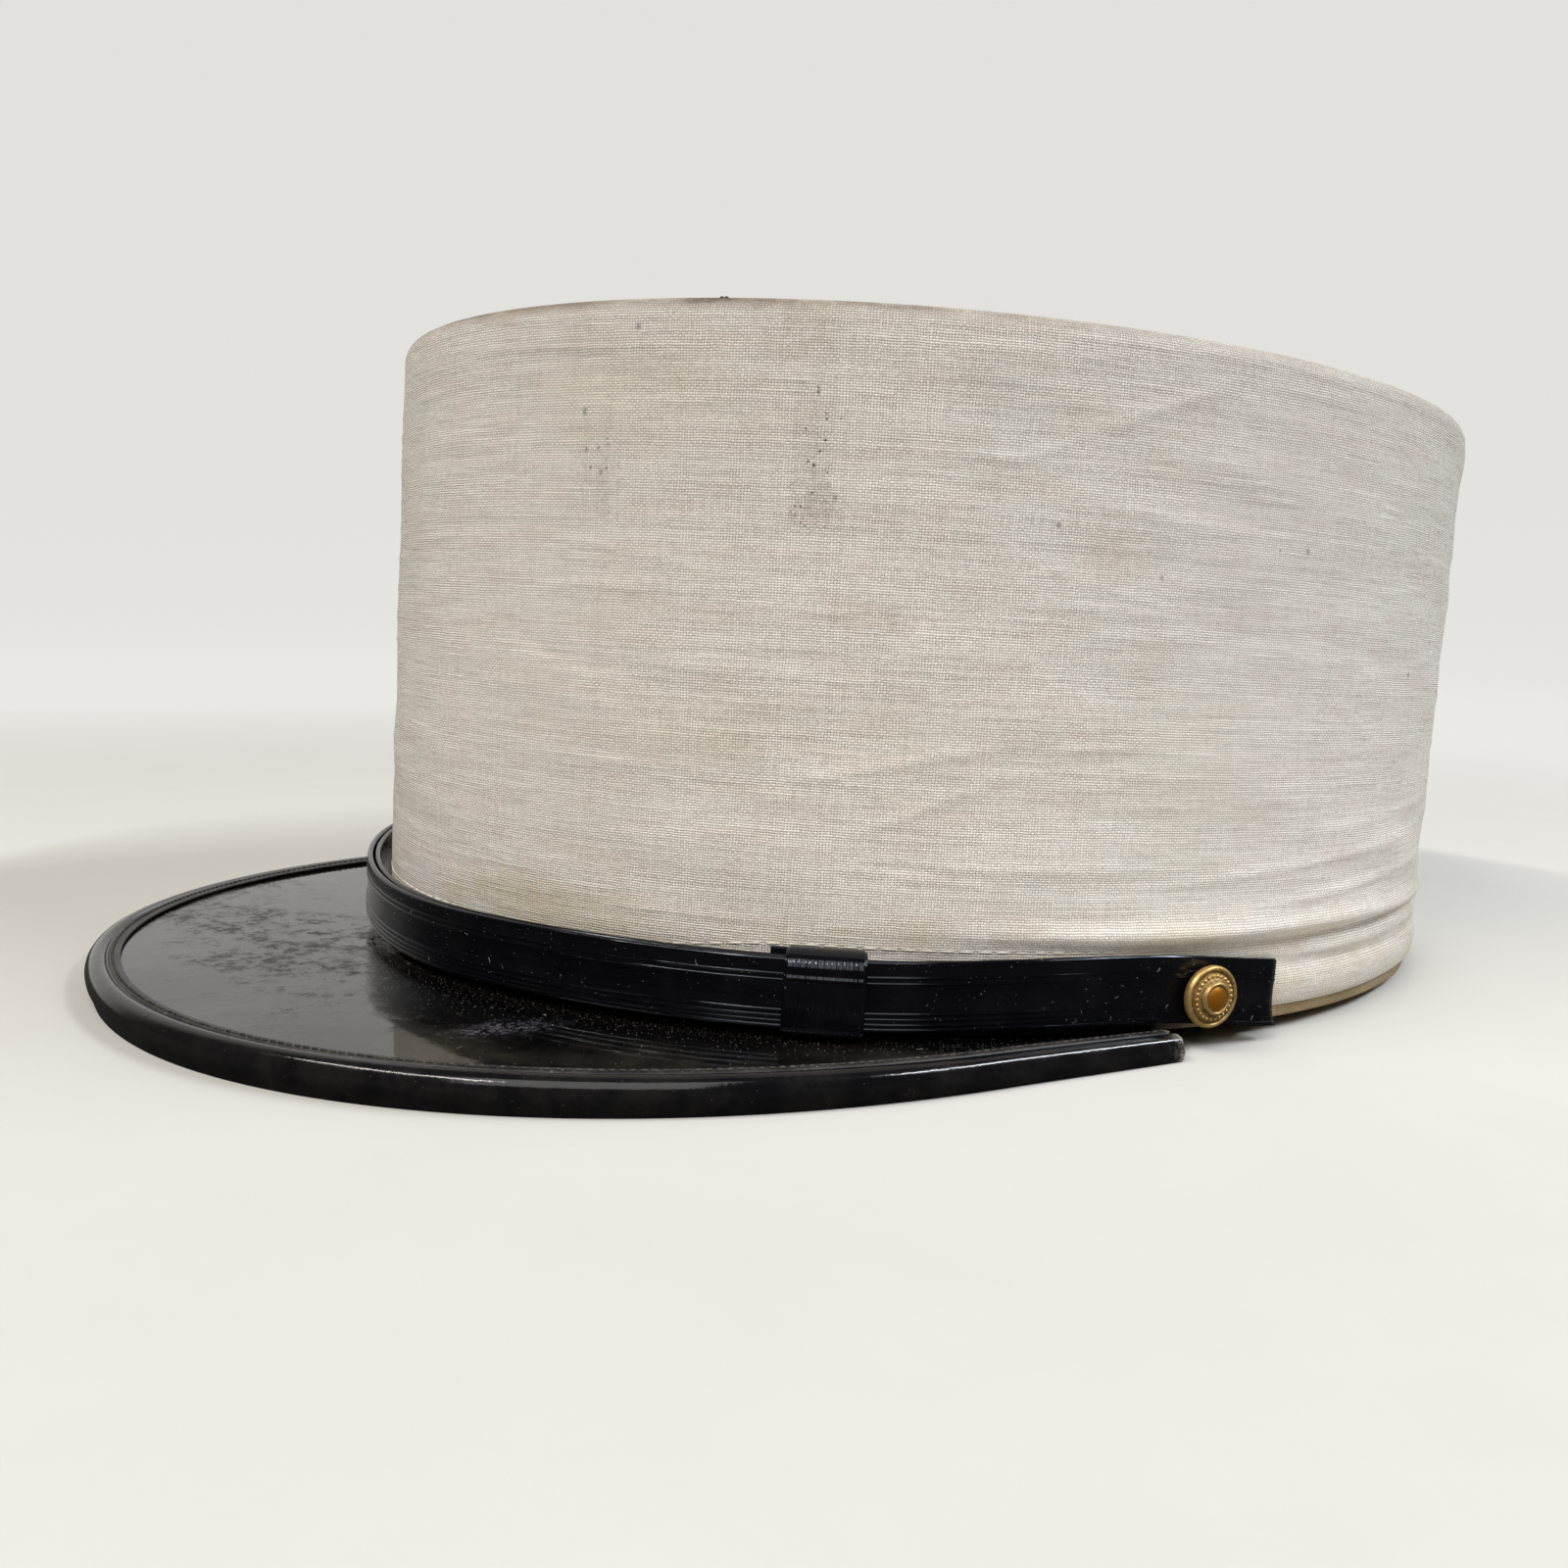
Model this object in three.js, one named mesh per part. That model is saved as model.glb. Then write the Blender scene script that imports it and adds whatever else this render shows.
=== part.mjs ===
// A kepi: white cotton crown, flat black visor with a sewn bead, two-part chin strap, slides and buttons.
// Sizes are in millimetres and angles in degrees. The hat is worked out level on its hem plane:
// -y is the front, +x the wearer's left, +z up. Angles run from the front towards the wearer's left.
import * as THREE from 'three';

const { degToRad, lerp, smoothstep, clamp } = THREE.MathUtils;

// Room between pieces that touch
const GAP = 0.3;

// Crown
const HEM_LENGTH = 205;
const HEM_WIDTH = 174;
const FRONT_FULLNESS = 0.018; // share by which the oval is wider in front of its middle
const TOP_LENGTH_GAIN = -0.005; // the wall leans in by this share at front and back
const TOP_WIDTH_GAIN = 0.02; // and out by this share at the sides
const CROWN_HEIGHT = 96.8;
const TOP_SLOPE = 0.023; // the top rises towards the front
const CLOTH = 2;
const RIM_RADIUS = 2.6;
const RIM_STEPS = 4;
const RIM_FLANGE = 6; // turned-in edge that the top panel meets
const RIM_DROP = 0.3;
const TOP_DISH = 4; // how far the top panel sinks in its middle
const TOP_RING_SHARES = [0.35, 0.6, 0.82, 1]; // rings of the panel, as shares of its half size
const ROUND_STEPS = 64;

// Inner band: the lip at its foot is the lowest part of the crown
const LIP_INSET = 0.7;
const LIP_TOP = 1.5;
const LIP_FOOT = -1.2; // behind the strap; in front the lip comes down to the visor
const BAND = 1.4;
const BAND_HEIGHT = 30;
const LIP_ENDS = { level: 92, onVisor: 80 }; // between these angles its foot leaves the visor

// Visor
const VISOR_HALF_WIDTH = 88;
const VISOR_TIP = 147.6; // sewing line of the bead, forward of the oval's middle
const VISOR_WIDEST = 42; // where the outline stops curving, forward of the middle
const VISOR_ROUNDNESS = 2.14; // exponent of the outline; 2 is an ellipse
const VISOR_CORNER = { x: 88.5, y: -14, angle: 82 };
const VISOR_CURVED_SHARE = 0.82; // share of the stations that lie on the curved stretch
const VISOR_TOP = -1.4; // height of its top at the corners
const VISOR_DIP = 1.85; // further drop at the tip
const VISOR_DIP_START = 30; // the dip starts this far forward
const VISOR_THICK = 1.5;
const VISOR_INSET = 3; // its inner edge reaches under the crown wall
const VISOR_EDGE = 1.2; // the plate runs this far past the sewing line, into the bead
const VISOR_ROW_SHARES = [0, 0.35, 0.7, 1]; // rows from its inner to its outer edge
const VISOR_STEPS = 44;
const BEAD_DEPTH = 4.4; // from the visor's top down to the flat underside, at the tip
const BEAD_STEPS = 56;

// Chin strap
const STRAP_WIDTH = 10.2;
const STRAP = 1;
const STRAP_BEVEL = 0.3;
const STRAP_END = 93.7;
const STRAP_STEP = 3.5;
const SLIDE_ANGLE = 53;
const SLIDE_LENGTH = 11.1;
const SLIDE_WALL = 0.8;
const SLIDE_CORNER_STEPS = 3;
const SLIDE_EDGE = { along: 0.92, wall: 0.6 }; // where its edges round off, as shares of length and wall
const LAYER_ENDS = { over: 58, down: 78 }; // the upper half comes down onto the cloth between these

// Buttons
const BUTTON_ANGLE = 85.5;
const BUTTON_HEIGHT = 4.6;
const BUTTON_SEGMENTS = 20;

// Soft rolls and tucks in the hem, round the back: a row for each.
// height: above the hem plane, reach: how far it stands out or, below 0, in, spread: its half height,
// start and full: angles from the front, on both sides, between which it grows.
const HEM_ROLLS = [
  { height: 4.2, reach: 0.5, spread: 2.2, start: 96, full: 116 },
  { height: 7.7, reach: -0.7, spread: 1.3, start: 96, full: 118 },
  { height: 11.4, reach: -0.8, spread: 1.4, start: 66, full: 104 },
  { height: 14.2, reach: 0.3, spread: 1.7, start: 64, full: 104 },
  { height: 17.4, reach: -0.5, spread: 1.7, start: 84, full: 122 },
];

// Rows of the cloth wall, outside: height above the hem plane and how far it is set in.
const WALL_ROWS = [
  { height: 1.8, inset: 1.2 },
  { height: 2.1, inset: 0.5 },
  { height: 3, inset: 0 },
  { height: 4.3, inset: 0 },
  { height: 6, inset: 0 },
  { height: 7.7, inset: 0 },
  { height: 9.5, inset: 0 },
  { height: 11.4, inset: 0 },
  { height: 14.2, inset: 0 },
  { height: 17.4, inset: 0 },
  { height: 20.5, inset: 0 },
  { height: 25, inset: 0 },
  { height: 34, inset: 0 },
  { height: 50, inset: 0 },
  { height: 72, inset: 0 },
];
const WALL_INSIDE_HEIGHTS = [60, 22, 1.8];

// Run of the strap round the front. top: height of its upper edge, off: room between it and the cloth.
const STRAP_RUN = [
  { angle: -93.7, top: 8.8, off: 0.4 },
  { angle: -80, top: 11, off: 0.6 },
  { angle: -53, top: 12.6, off: 1.6 },
  { angle: -30, top: 12.2, off: 2.2 },
  { angle: 0, top: 9.7, off: 1.6 },
  { angle: 30, top: 9.8, off: 1.4 },
  { angle: 53, top: 10.1, off: 1.6 },
  { angle: 80, top: 10.8, off: 0.6 },
  { angle: 93.7, top: 8.8, off: 0.4 },
];

// Section of the bead. out: from the sewing line, up: above the visor's top,
// over: above the surface that the hat rests on.
const BEAD_PROFILE = [
  { out: -1.9, up: GAP },
  { out: -1.9, up: 0.75 },
  { out: -0.3, up: 0.8 },
  { out: 0, up: 0.5 },
  { out: 0.6, up: 0.85 },
  { out: 1.8, up: 0.8 },
  { out: 2.8, up: 0 },
  { out: 3.2, up: -1.4 },
  { out: 3, up: -2.4 },
  { out: 2.3, over: 0 },
  { out: -1.2, over: 0 },
  { out: -1.9, over: 0.5 },
  { out: -1.9, up: -VISOR_THICK - GAP },
  { out: VISOR_EDGE + GAP, up: -VISOR_THICK - GAP },
  { out: VISOR_EDGE + GAP, up: GAP },
];

// Half section of a button, from the middle of its back to the middle of its face.
const BUTTON_PROFILE = [
  { radius: 0, height: 0 },
  { radius: 3.2, height: 0 },
  { radius: 4.3, height: 0.5 },
  { radius: 4.65, height: 1.1 },
  { radius: 4.6, height: 1.6 },
  { radius: 4.3, height: 1.9 },
  { radius: 3.9, height: 1.8 },
  { radius: 3.1, height: 2.4 },
  { radius: 2.4, height: 2.7 },
  { radius: 2.2, height: 3 },
  { radius: 1.95, height: 3.05 },
  { radius: 1.75, height: 2.85 },
  { radius: 1.4, height: 3.15 },
  { radius: 0.8, height: 3.4 },
  { radius: 0, height: 3.5 },
];

// Surface that the hat rests on: the back of the band's edge and the flat underside of the bead.
const REST_BACK = HEM_LENGTH / 2 - LIP_INSET;
const REST_SLOPE = (BEAD_DEPTH + VISOR_DIP - VISOR_TOP + LIP_FOOT) / (REST_BACK + VISOR_TIP);

function restAt(y) {
  return LIP_FOOT + (y - REST_BACK) * REST_SLOPE;
}

// The oval of the crown: a point of it at a height, set in from the outside of the cloth.
function oval(angle, inset, height) {
  const a = degToRad(angle);
  const lift = height / CROWN_HEIGHT;
  const halfWidth = (HEM_WIDTH / 2) * (1 + TOP_WIDTH_GAIN * lift) - inset;
  const halfLength = (HEM_LENGTH / 2) * (1 + TOP_LENGTH_GAIN * lift) - inset;
  const x = halfWidth * Math.sin(a) * (1 + FRONT_FULLNESS * Math.cos(a));
  return new THREE.Vector3(x, -halfLength * Math.cos(a), height);
}

function outwardAt(angle, height) {
  const step = 0.5;
  const along = oval(angle + step, 0, height).sub(oval(angle - step, 0, height));
  return new THREE.Vector3(along.y, -along.x, 0).normalize();
}

function angles(from, to, steps) {
  return Array.from({ length: steps + 1 }, (_, i) => lerp(from, to, i / steps));
}

const ROUND = angles(-180, 180, ROUND_STEPS).slice(0, -1);

// A smooth curve through one column of a table whose rows are in order of angle.
function column(rows, name, angle) {
  const last = rows.length - 1;
  let k = 0;
  while (k < last - 1 && angle > rows[k + 1].angle) {
    k += 1;
  }
  const slope = (i) => {
    const before = rows[Math.max(i - 1, 0)];
    const after = rows[Math.min(i + 1, last)];
    return (after[name] - before[name]) / (after.angle - before.angle);
  };
  const span = rows[k + 1].angle - rows[k].angle;
  const u = clamp((angle - rows[k].angle) / span, 0, 1);
  const rise = (rows[k + 1][name] - rows[k][name]) * u * u * (3 - 2 * u);
  const leave = slope(k) * span * u * (1 - u) * (1 - u);
  const arrive = slope(k + 1) * span * u * u * (1 - u);
  return rows[k][name] + rise + leave - arrive;
}

function turnOut(triangles, positions) {
  const [a, b, c] = [new THREE.Vector3(), new THREE.Vector3(), new THREE.Vector3()];
  let volume = 0;
  for (let i = 0; i < triangles.length; i += 3) {
    a.fromArray(positions, 3 * triangles[i]);
    b.fromArray(positions, 3 * triangles[i + 1]);
    c.fromArray(positions, 3 * triangles[i + 2]);
    volume += a.dot(b.cross(c));
  }
  return volume < 0 ? triangles.reverse() : triangles;
}

// A closed skin through sections that all have the same number of points.
// It closes on itself, or else each end is capped by the flat outline of a section.
function skin(sections, outline = null) {
  const count = sections[0].length;
  const positions = sections.flat().flatMap((p) => p.toArray());
  const triangles = [];
  const bays = outline ? sections.length - 1 : sections.length;
  for (let i = 0; i < bays; i += 1) {
    const here = i * count;
    const next = ((i + 1) % sections.length) * count;
    for (let k = 0; k < count; k += 1) {
      const side = (k + 1) % count;
      triangles.push(here + k, next + k, next + side);
      triangles.push(here + k, next + side, here + side);
    }
  }
  if (outline) {
    const end = bays * count;
    const way = Math.sign(THREE.ShapeUtils.area(outline));
    for (const face of THREE.ShapeUtils.triangulateShape(outline, [])) {
      const turned = Math.sign(THREE.ShapeUtils.area(face.map((k) => outline[k]))) === way;
      const [a, b, c] = turned ? face : [face[0], face[2], face[1]];
      triangles.push(a, b, c, end + c, end + b, end + a);
    }
  }
  const geometry = new THREE.BufferGeometry();
  geometry.setAttribute('position', new THREE.Float32BufferAttribute(positions, 3));
  geometry.setIndex(turnOut(triangles, positions));
  geometry.computeVertexNormals();
  return geometry;
}

function piece(name, geometry, finish) {
  const mesh = new THREE.Mesh(geometry, new THREE.MeshStandardMaterial(finish));
  mesh.name = name;
  return mesh;
}

const WHITE_COTTON = { color: 0xe4ded2, roughness: 0.95, metalness: 0 };
const TAN_COTTON = { color: 0xa48d66, roughness: 0.9, metalness: 0 };
const BLACK_VISOR = { color: 0x101012, roughness: 0.3, metalness: 0 };
const BLACK_BEAD = { color: 0x0c0c10, roughness: 0.2, metalness: 0 };
const BLACK_STRAP = { color: 0x0c0c12, roughness: 0.25, metalness: 0 };
const AGED_BRASS = { color: 0x8a6a35, roughness: 0.45, metalness: 1 };

// Crown wall: hem, rolls, wall, rounded rim and turned-in edge, then down the inside
function rollAt(angle, height) {
  return HEM_ROLLS.reduce((sum, roll) => {
    const share = smoothstep(Math.abs(angle), roll.start, roll.full);
    const away = (height - roll.height) / roll.spread;
    return sum + roll.reach * share * Math.exp(-away * away);
  }, 0);
}

// Height of the top plane over a point, as a share of the crown's height.
function stretchAt(y) {
  return 1 - (TOP_SLOPE * y) / CROWN_HEIGHT;
}

function crownPoint(angle, inset, height) {
  const point = oval(angle, inset, height);
  point.z = height * stretchAt(point.y);
  return point;
}

function crownSideSection(angle) {
  const rimBase = CROWN_HEIGHT - RIM_RADIUS;
  const inRadius = RIM_RADIUS - CLOTH;
  const flangeEnd = RIM_RADIUS + RIM_FLANGE;
  const wall = WALL_ROWS.map(({ height, inset }) => crownPoint(angle, inset - rollAt(angle, height), height));
  const rim = angles(0, 90, RIM_STEPS).map((turn) => {
    const a = degToRad(turn);
    return crownPoint(angle, RIM_RADIUS * (1 - Math.cos(a)), rimBase + RIM_RADIUS * Math.sin(a));
  });
  const flange = [
    crownPoint(angle, flangeEnd, CROWN_HEIGHT - RIM_DROP),
    crownPoint(angle, flangeEnd, CROWN_HEIGHT - RIM_DROP - CLOTH),
    crownPoint(angle, RIM_RADIUS, rimBase + inRadius),
    crownPoint(angle, CLOTH, rimBase),
  ];
  const inside = WALL_INSIDE_HEIGHTS.map((height) => crownPoint(angle, CLOTH, height));
  return [...wall, ...rim, ...flange, ...inside];
}

function crownSide() {
  return piece('crown_side', skin(ROUND.map(crownSideSection)), WHITE_COTTON);
}

// Top panel: a shallow dish inside the rim's turned-in edge
function crownTop() {
  const inset = RIM_RADIUS + RIM_FLANGE + GAP;
  const ring = (share, drop) => ROUND.map((angle) => {
    const point = oval(angle, inset, CROWN_HEIGHT).multiplyScalar(share);
    const sunk = TOP_DISH * (1 - share * share);
    point.z = CROWN_HEIGHT * stretchAt(point.y) - RIM_DROP - sunk - drop;
    return point;
  });
  const under = TOP_RING_SHARES.map((share) => ring(share, CLOTH));
  const over = TOP_RING_SHARES.map((share) => ring(share, 0)).reverse();
  const middle = under[0].map((point) => new THREE.Vector2(point.x, point.y));
  return piece('crown_top', skin([...under, ...over], middle), WHITE_COTTON);
}

// Visor
function visorTop(y) {
  const share = clamp((-y - VISOR_DIP_START) / (VISOR_TIP - VISOR_DIP_START), 0, 1);
  return VISOR_TOP - VISOR_DIP * share * share;
}

// Sewing line of the bead. Stations run from -1, the right corner, to 1, the left corner.
function visorOutline(station) {
  const share = Math.abs(station) / VISOR_CURVED_SHARE;
  const side = Math.sign(station);
  if (share > 1) {
    const back = (Math.abs(station) - VISOR_CURVED_SHARE) / (1 - VISOR_CURVED_SHARE);
    const x = lerp(VISOR_HALF_WIDTH, VISOR_CORNER.x, back);
    return new THREE.Vector2(side * x, lerp(-VISOR_WIDEST, VISOR_CORNER.y, back));
  }
  const a = degToRad(90 * share);
  const power = 2 / VISOR_ROUNDNESS;
  const x = VISOR_HALF_WIDTH * Math.sin(a) ** power;
  const y = -VISOR_WIDEST - (VISOR_TIP - VISOR_WIDEST) * Math.abs(Math.cos(a)) ** power;
  return new THREE.Vector2(side * x, y);
}

function visorOutward(station) {
  const step = 0.01;
  const after = visorOutline(Math.min(station + step, 1));
  const before = visorOutline(Math.max(station - step, -1));
  const along = after.sub(before).normalize();
  return new THREE.Vector2(along.y, -along.x);
}

function visor() {
  const sections = angles(-1, 1, VISOR_STEPS).map((station) => {
    const inner = oval(station * VISOR_CORNER.angle, VISOR_INSET, 0);
    const edge = visorOutline(station).addScaledVector(visorOutward(station), VISOR_EDGE);
    const top = VISOR_ROW_SHARES.map((share) => {
      const y = lerp(inner.y, edge.y, share);
      return new THREE.Vector3(lerp(inner.x, edge.x, share), y, visorTop(y));
    });
    const under = top.map((p) => new THREE.Vector3(p.x, p.y, p.z - VISOR_THICK)).reverse();
    return [...top, ...under];
  });
  const over = VISOR_ROW_SHARES.map((share) => new THREE.Vector2(share, 1));
  const below = VISOR_ROW_SHARES.map((share) => new THREE.Vector2(share, 0)).reverse();
  const outline = [...over, ...below];
  return piece('visor', skin(sections, outline), BLACK_VISOR);
}

// Bead: a channel round the visor's edge, flat where the hat rests on it
function visorBinding() {
  const sections = angles(-1, 1, BEAD_STEPS).map((station) => {
    const line = visorOutline(station);
    const outward = visorOutward(station);
    const top = visorTop(line.y);
    return BEAD_PROFILE.map(({ out, up, over }) => {
      const x = line.x + outward.x * out;
      const y = line.y + outward.y * out;
      const z = over === undefined ? top + up : restAt(y) + over;
      return new THREE.Vector3(x, y, z);
    });
  });
  const outline = BEAD_PROFILE.map(({ out, up, over }) => {
    return new THREE.Vector2(out, over === undefined ? up : over - BEAD_DEPTH);
  });
  return piece('visor_binding', skin(sections, outline), BLACK_BEAD);
}

// Chin strap: each half runs from its button to the slide on the other side; the left half lies on top
function strapOff(angle, layer) {
  const raised = layer * (STRAP + GAP) * (1 - smoothstep(angle, LAYER_ENDS.over, LAYER_ENDS.down));
  return column(STRAP_RUN, 'off', angle) + raised;
}

function strapPoint(angle, off, height) {
  return oval(angle, 0, height).addScaledVector(outwardAt(angle, height), off);
}

function strapHalf(name, from, to, layer) {
  const bevel = STRAP_BEVEL;
  const outline = [
    [0, bevel], [0, STRAP_WIDTH - bevel], [bevel, STRAP_WIDTH], [STRAP - bevel, STRAP_WIDTH],
    [STRAP, STRAP_WIDTH - bevel], [STRAP, bevel], [STRAP - bevel, 0], [bevel, 0],
  ].map(([out, up]) => new THREE.Vector2(out, up));
  const steps = Math.round(Math.abs(to - from) / STRAP_STEP);
  const sections = angles(from, to, steps).map((angle) => {
    const foot = column(STRAP_RUN, 'top', angle) - STRAP_WIDTH;
    const off = strapOff(angle, layer);
    return outline.map(({ x: out, y: up }) => strapPoint(angle, off + out, foot + up));
  });
  return piece(name, skin(sections, outline), BLACK_STRAP);
}

// Slide: a flat loop round both layers of the strap
function strapSlide(name, angle) {
  const inner = column(STRAP_RUN, 'off', angle) - GAP;
  const outer = inner + 2 * STRAP + 3 * GAP;
  const top = column(STRAP_RUN, 'top', angle) + GAP;
  const foot = top - STRAP_WIDTH - 2 * GAP;
  const halfTurn = (SLIDE_LENGTH / 2 / oval(angle, -outer, 0).length()) * (180 / Math.PI);
  const corners = [
    { out: outer, up: foot, turn: -90 },
    { out: outer, up: top, turn: 0 },
    { out: inner, up: top, turn: 90 },
    { out: inner, up: foot, turn: 180 },
  ];
  const sections = corners.flatMap(({ out, up, turn }) => {
    return angles(turn, turn + 90, SLIDE_CORNER_STEPS).map((bend) => {
      const [c, s] = [Math.cos(degToRad(bend)), Math.sin(degToRad(bend))];
      const at = (share, wall) => {
        return strapPoint(angle + share * halfTurn, out + wall * c, up + wall * s);
      };
      const { along, wall } = SLIDE_EDGE;
      return [
        at(-1, 0),
        at(-1, SLIDE_WALL * wall),
        at(-along, SLIDE_WALL),
        at(along, SLIDE_WALL),
        at(1, SLIDE_WALL * wall),
        at(1, 0),
      ];
    });
  });
  return piece(name, skin(sections), BLACK_STRAP);
}

// Button: turned, facing straight out from the side of the hat
function button(name, angle) {
  const profile = BUTTON_PROFILE.map(({ radius, height }) => new THREE.Vector2(radius, height));
  const mesh = piece(name, new THREE.LatheGeometry(profile, BUTTON_SEGMENTS), AGED_BRASS);
  const outward = outwardAt(angle, BUTTON_HEIGHT);
  mesh.position.copy(strapPoint(angle, strapOff(Math.abs(angle), 0) + STRAP + GAP, BUTTON_HEIGHT));
  mesh.quaternion.setFromUnitVectors(new THREE.Vector3(0, 1, 0), outward);
  return mesh;
}

// Inner band: its lip comes down to the visor in front and is level behind
function innerBand() {
  const sections = ROUND.map((angle) => {
    const level = smoothstep(Math.abs(angle), LIP_ENDS.onVisor, LIP_ENDS.level);
    const foot = lerp(visorTop(oval(angle, LIP_INSET, 0).y) + GAP, LIP_FOOT, level);
    const outside = CLOTH + GAP;
    return [
      oval(angle, LIP_INSET, foot),
      oval(angle, LIP_INSET, LIP_TOP),
      oval(angle, outside, LIP_TOP),
      oval(angle, outside, BAND_HEIGHT),
      oval(angle, outside + BAND, BAND_HEIGHT),
      oval(angle, outside + BAND, foot),
    ];
  });
  return piece('inner_band', skin(sections), TAN_COTTON);
}

const hat = new THREE.Group();
hat.add(crownSide(), crownTop(), innerBand(), visor(), visorBinding());
hat.add(strapHalf('chin_strap_left', -SLIDE_ANGLE, STRAP_END, 1));
hat.add(strapHalf('chin_strap_right', -STRAP_END, SLIDE_ANGLE, 0));
hat.add(strapSlide('strap_slide_left', SLIDE_ANGLE), strapSlide('strap_slide_right', -SLIDE_ANGLE));
hat.add(button('button_left', BUTTON_ANGLE), button('button_right', -BUTTON_ANGLE));

// Lay the hat on its resting surface and centre it there
hat.rotation.x = -Math.atan(REST_SLOPE);
const reach = new THREE.Box3().setFromObject(hat, true);
const middle = reach.getCenter(new THREE.Vector3());
hat.position.set(-middle.x, -middle.y, -reach.min.z);

const kepi = new THREE.Group();
kepi.add(hat);
kepi.updateMatrixWorld(true);

export default kepi;
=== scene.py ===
# %% [markdown]
# # A white kepi, dressed in Blender
# A kepi is a stiff cap with straight sides, a flat top and a flat peak. This one has a crown of white
# cotton, a black visor with a sewn bead, a vinyl chin strap in two halves, and brass buttons.
# Its solids are packed already, so this lesson loads them as a fixed frame and then makes one
# detailed piece for each solid: cloth with folds and weave, leather with dust, vinyl with ribs.

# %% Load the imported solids
import math

import bpy
import numpy as np
from mathutils import Matrix, Vector


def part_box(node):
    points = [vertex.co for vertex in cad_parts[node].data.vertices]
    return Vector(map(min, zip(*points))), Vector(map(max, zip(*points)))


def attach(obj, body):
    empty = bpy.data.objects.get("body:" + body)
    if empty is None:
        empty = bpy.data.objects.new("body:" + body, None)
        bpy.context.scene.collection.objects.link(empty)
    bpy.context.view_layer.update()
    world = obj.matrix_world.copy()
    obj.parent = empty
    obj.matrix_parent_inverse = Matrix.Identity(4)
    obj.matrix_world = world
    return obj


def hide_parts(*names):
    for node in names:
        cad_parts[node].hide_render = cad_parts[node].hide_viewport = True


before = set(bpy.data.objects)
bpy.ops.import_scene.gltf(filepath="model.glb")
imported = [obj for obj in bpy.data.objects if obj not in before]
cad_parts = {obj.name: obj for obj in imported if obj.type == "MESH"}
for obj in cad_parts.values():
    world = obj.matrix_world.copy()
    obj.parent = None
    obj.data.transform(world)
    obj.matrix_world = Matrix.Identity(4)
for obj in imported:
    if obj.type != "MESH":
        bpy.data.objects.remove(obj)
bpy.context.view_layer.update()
scene = bpy.context.scene
print("solids:", ", ".join(sorted(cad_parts)))

# %% [markdown]
# ## Sizes and the seat
# A hatter works from the hem: an oval, a height and a lean. We keep the hat level on its hem while
# we shape it, in millimetres, with the front towards -y and the wearer's left towards +x.
# The real hat rests nose-up on the back of its band and on the bead of the visor, so one function,
# seat, tilts every finished point by that slope and turns millimetres into the frame's metres.

# %% Sizes of the hat
MM = 0.001
GAP = 0.3
HEM_LENGTH = 205.0
HEM_WIDTH = 174.0
FRONT_FULLNESS = 0.018
TOP_LENGTH_GAIN = -0.005
TOP_WIDTH_GAIN = 0.02
CROWN_HEIGHT = 96.8
TOP_SLOPE = 0.023
CLOTH = 2.0
RIM_RADIUS = 2.6
LIP_INSET = 0.7
LIP_FOOT = -1.2
VISOR_TIP = 147.6
VISOR_TOP = -1.4
VISOR_DIP = 1.85
VISOR_DIP_START = 30.0
BEAD_DEPTH = 4.4
BEAD_NOSE = {"out": 3.2, "up": -1.4}

print(f"hem {HEM_LENGTH} by {HEM_WIDTH} mm, crown {CROWN_HEIGHT} mm high")


# %% Ovals and heights
def grow(value, start, full):
    """0 before start, 1 after full, and a smooth rise between them."""
    share = np.clip((value - start) / (full - start), 0, 1)
    return share * share * (3 - 2 * share)


def oval(angle, inset, height):
    """Points of the crown's oval at angles from the front, set in from the outside of the cloth."""
    a = np.radians(angle)
    lift = height / CROWN_HEIGHT
    half_width = HEM_WIDTH / 2 * (1 + TOP_WIDTH_GAIN * lift) - inset
    half_length = HEM_LENGTH / 2 * (1 + TOP_LENGTH_GAIN * lift) - inset
    x = half_width * np.sin(a) * (1 + FRONT_FULLNESS * np.cos(a))
    y = -half_length * np.cos(a)
    return np.stack(np.broadcast_arrays(x, y, height), axis=-1).astype(float)


def outward_at(angle, height=0.0):
    """Level direction that the crown's wall faces at an angle."""
    along = oval(angle + 0.5, 0, height) - oval(angle - 0.5, 0, height)
    out = np.stack([along[..., 1], -along[..., 0], np.zeros_like(along[..., 0])], axis=-1)
    return out / np.linalg.norm(out, axis=-1, keepdims=True)


def visor_top(y):
    """Height of the visor's upper face, which dips towards its tip."""
    share = np.clip((-y - VISOR_DIP_START) / (VISOR_TIP - VISOR_DIP_START), 0, 1)
    return VISOR_TOP - VISOR_DIP * share * share


# %% Seat the hat on its floor
REST_BACK = HEM_LENGTH / 2 - LIP_INSET
REST_SLOPE = (BEAD_DEPTH + VISOR_DIP - VISOR_TOP + LIP_FOOT) / (REST_BACK + VISOR_TIP)
LEAN_COS = math.cos(math.atan(REST_SLOPE))
LEAN_SIN = math.sin(math.atan(REST_SLOPE))
NOSE_Y = -VISOR_TIP - BEAD_NOSE["out"]
NOSE_Z = visor_top(-VISOR_TIP) + BEAD_NOSE["up"]
SEAT_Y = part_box("visor_binding")[0].y / MM - (NOSE_Y * LEAN_COS + NOSE_Z * LEAN_SIN)
SEAT_Z = REST_BACK * LEAN_SIN - LIP_FOOT * LEAN_COS


def rest_at(y):
    """Height of the resting surface under the level hat."""
    return LIP_FOOT + (y - REST_BACK) * REST_SLOPE


def seat(points):
    """Millimetres on the level hat to metres in the frame, with the hat at rest."""
    x, y, z = np.moveaxis(np.asarray(points, float), -1, 0)
    back = y * LEAN_COS + z * LEAN_SIN + SEAT_Y
    up = z * LEAN_COS - y * LEAN_SIN + SEAT_Z
    return np.stack([x, back, up], axis=-1) * MM


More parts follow.
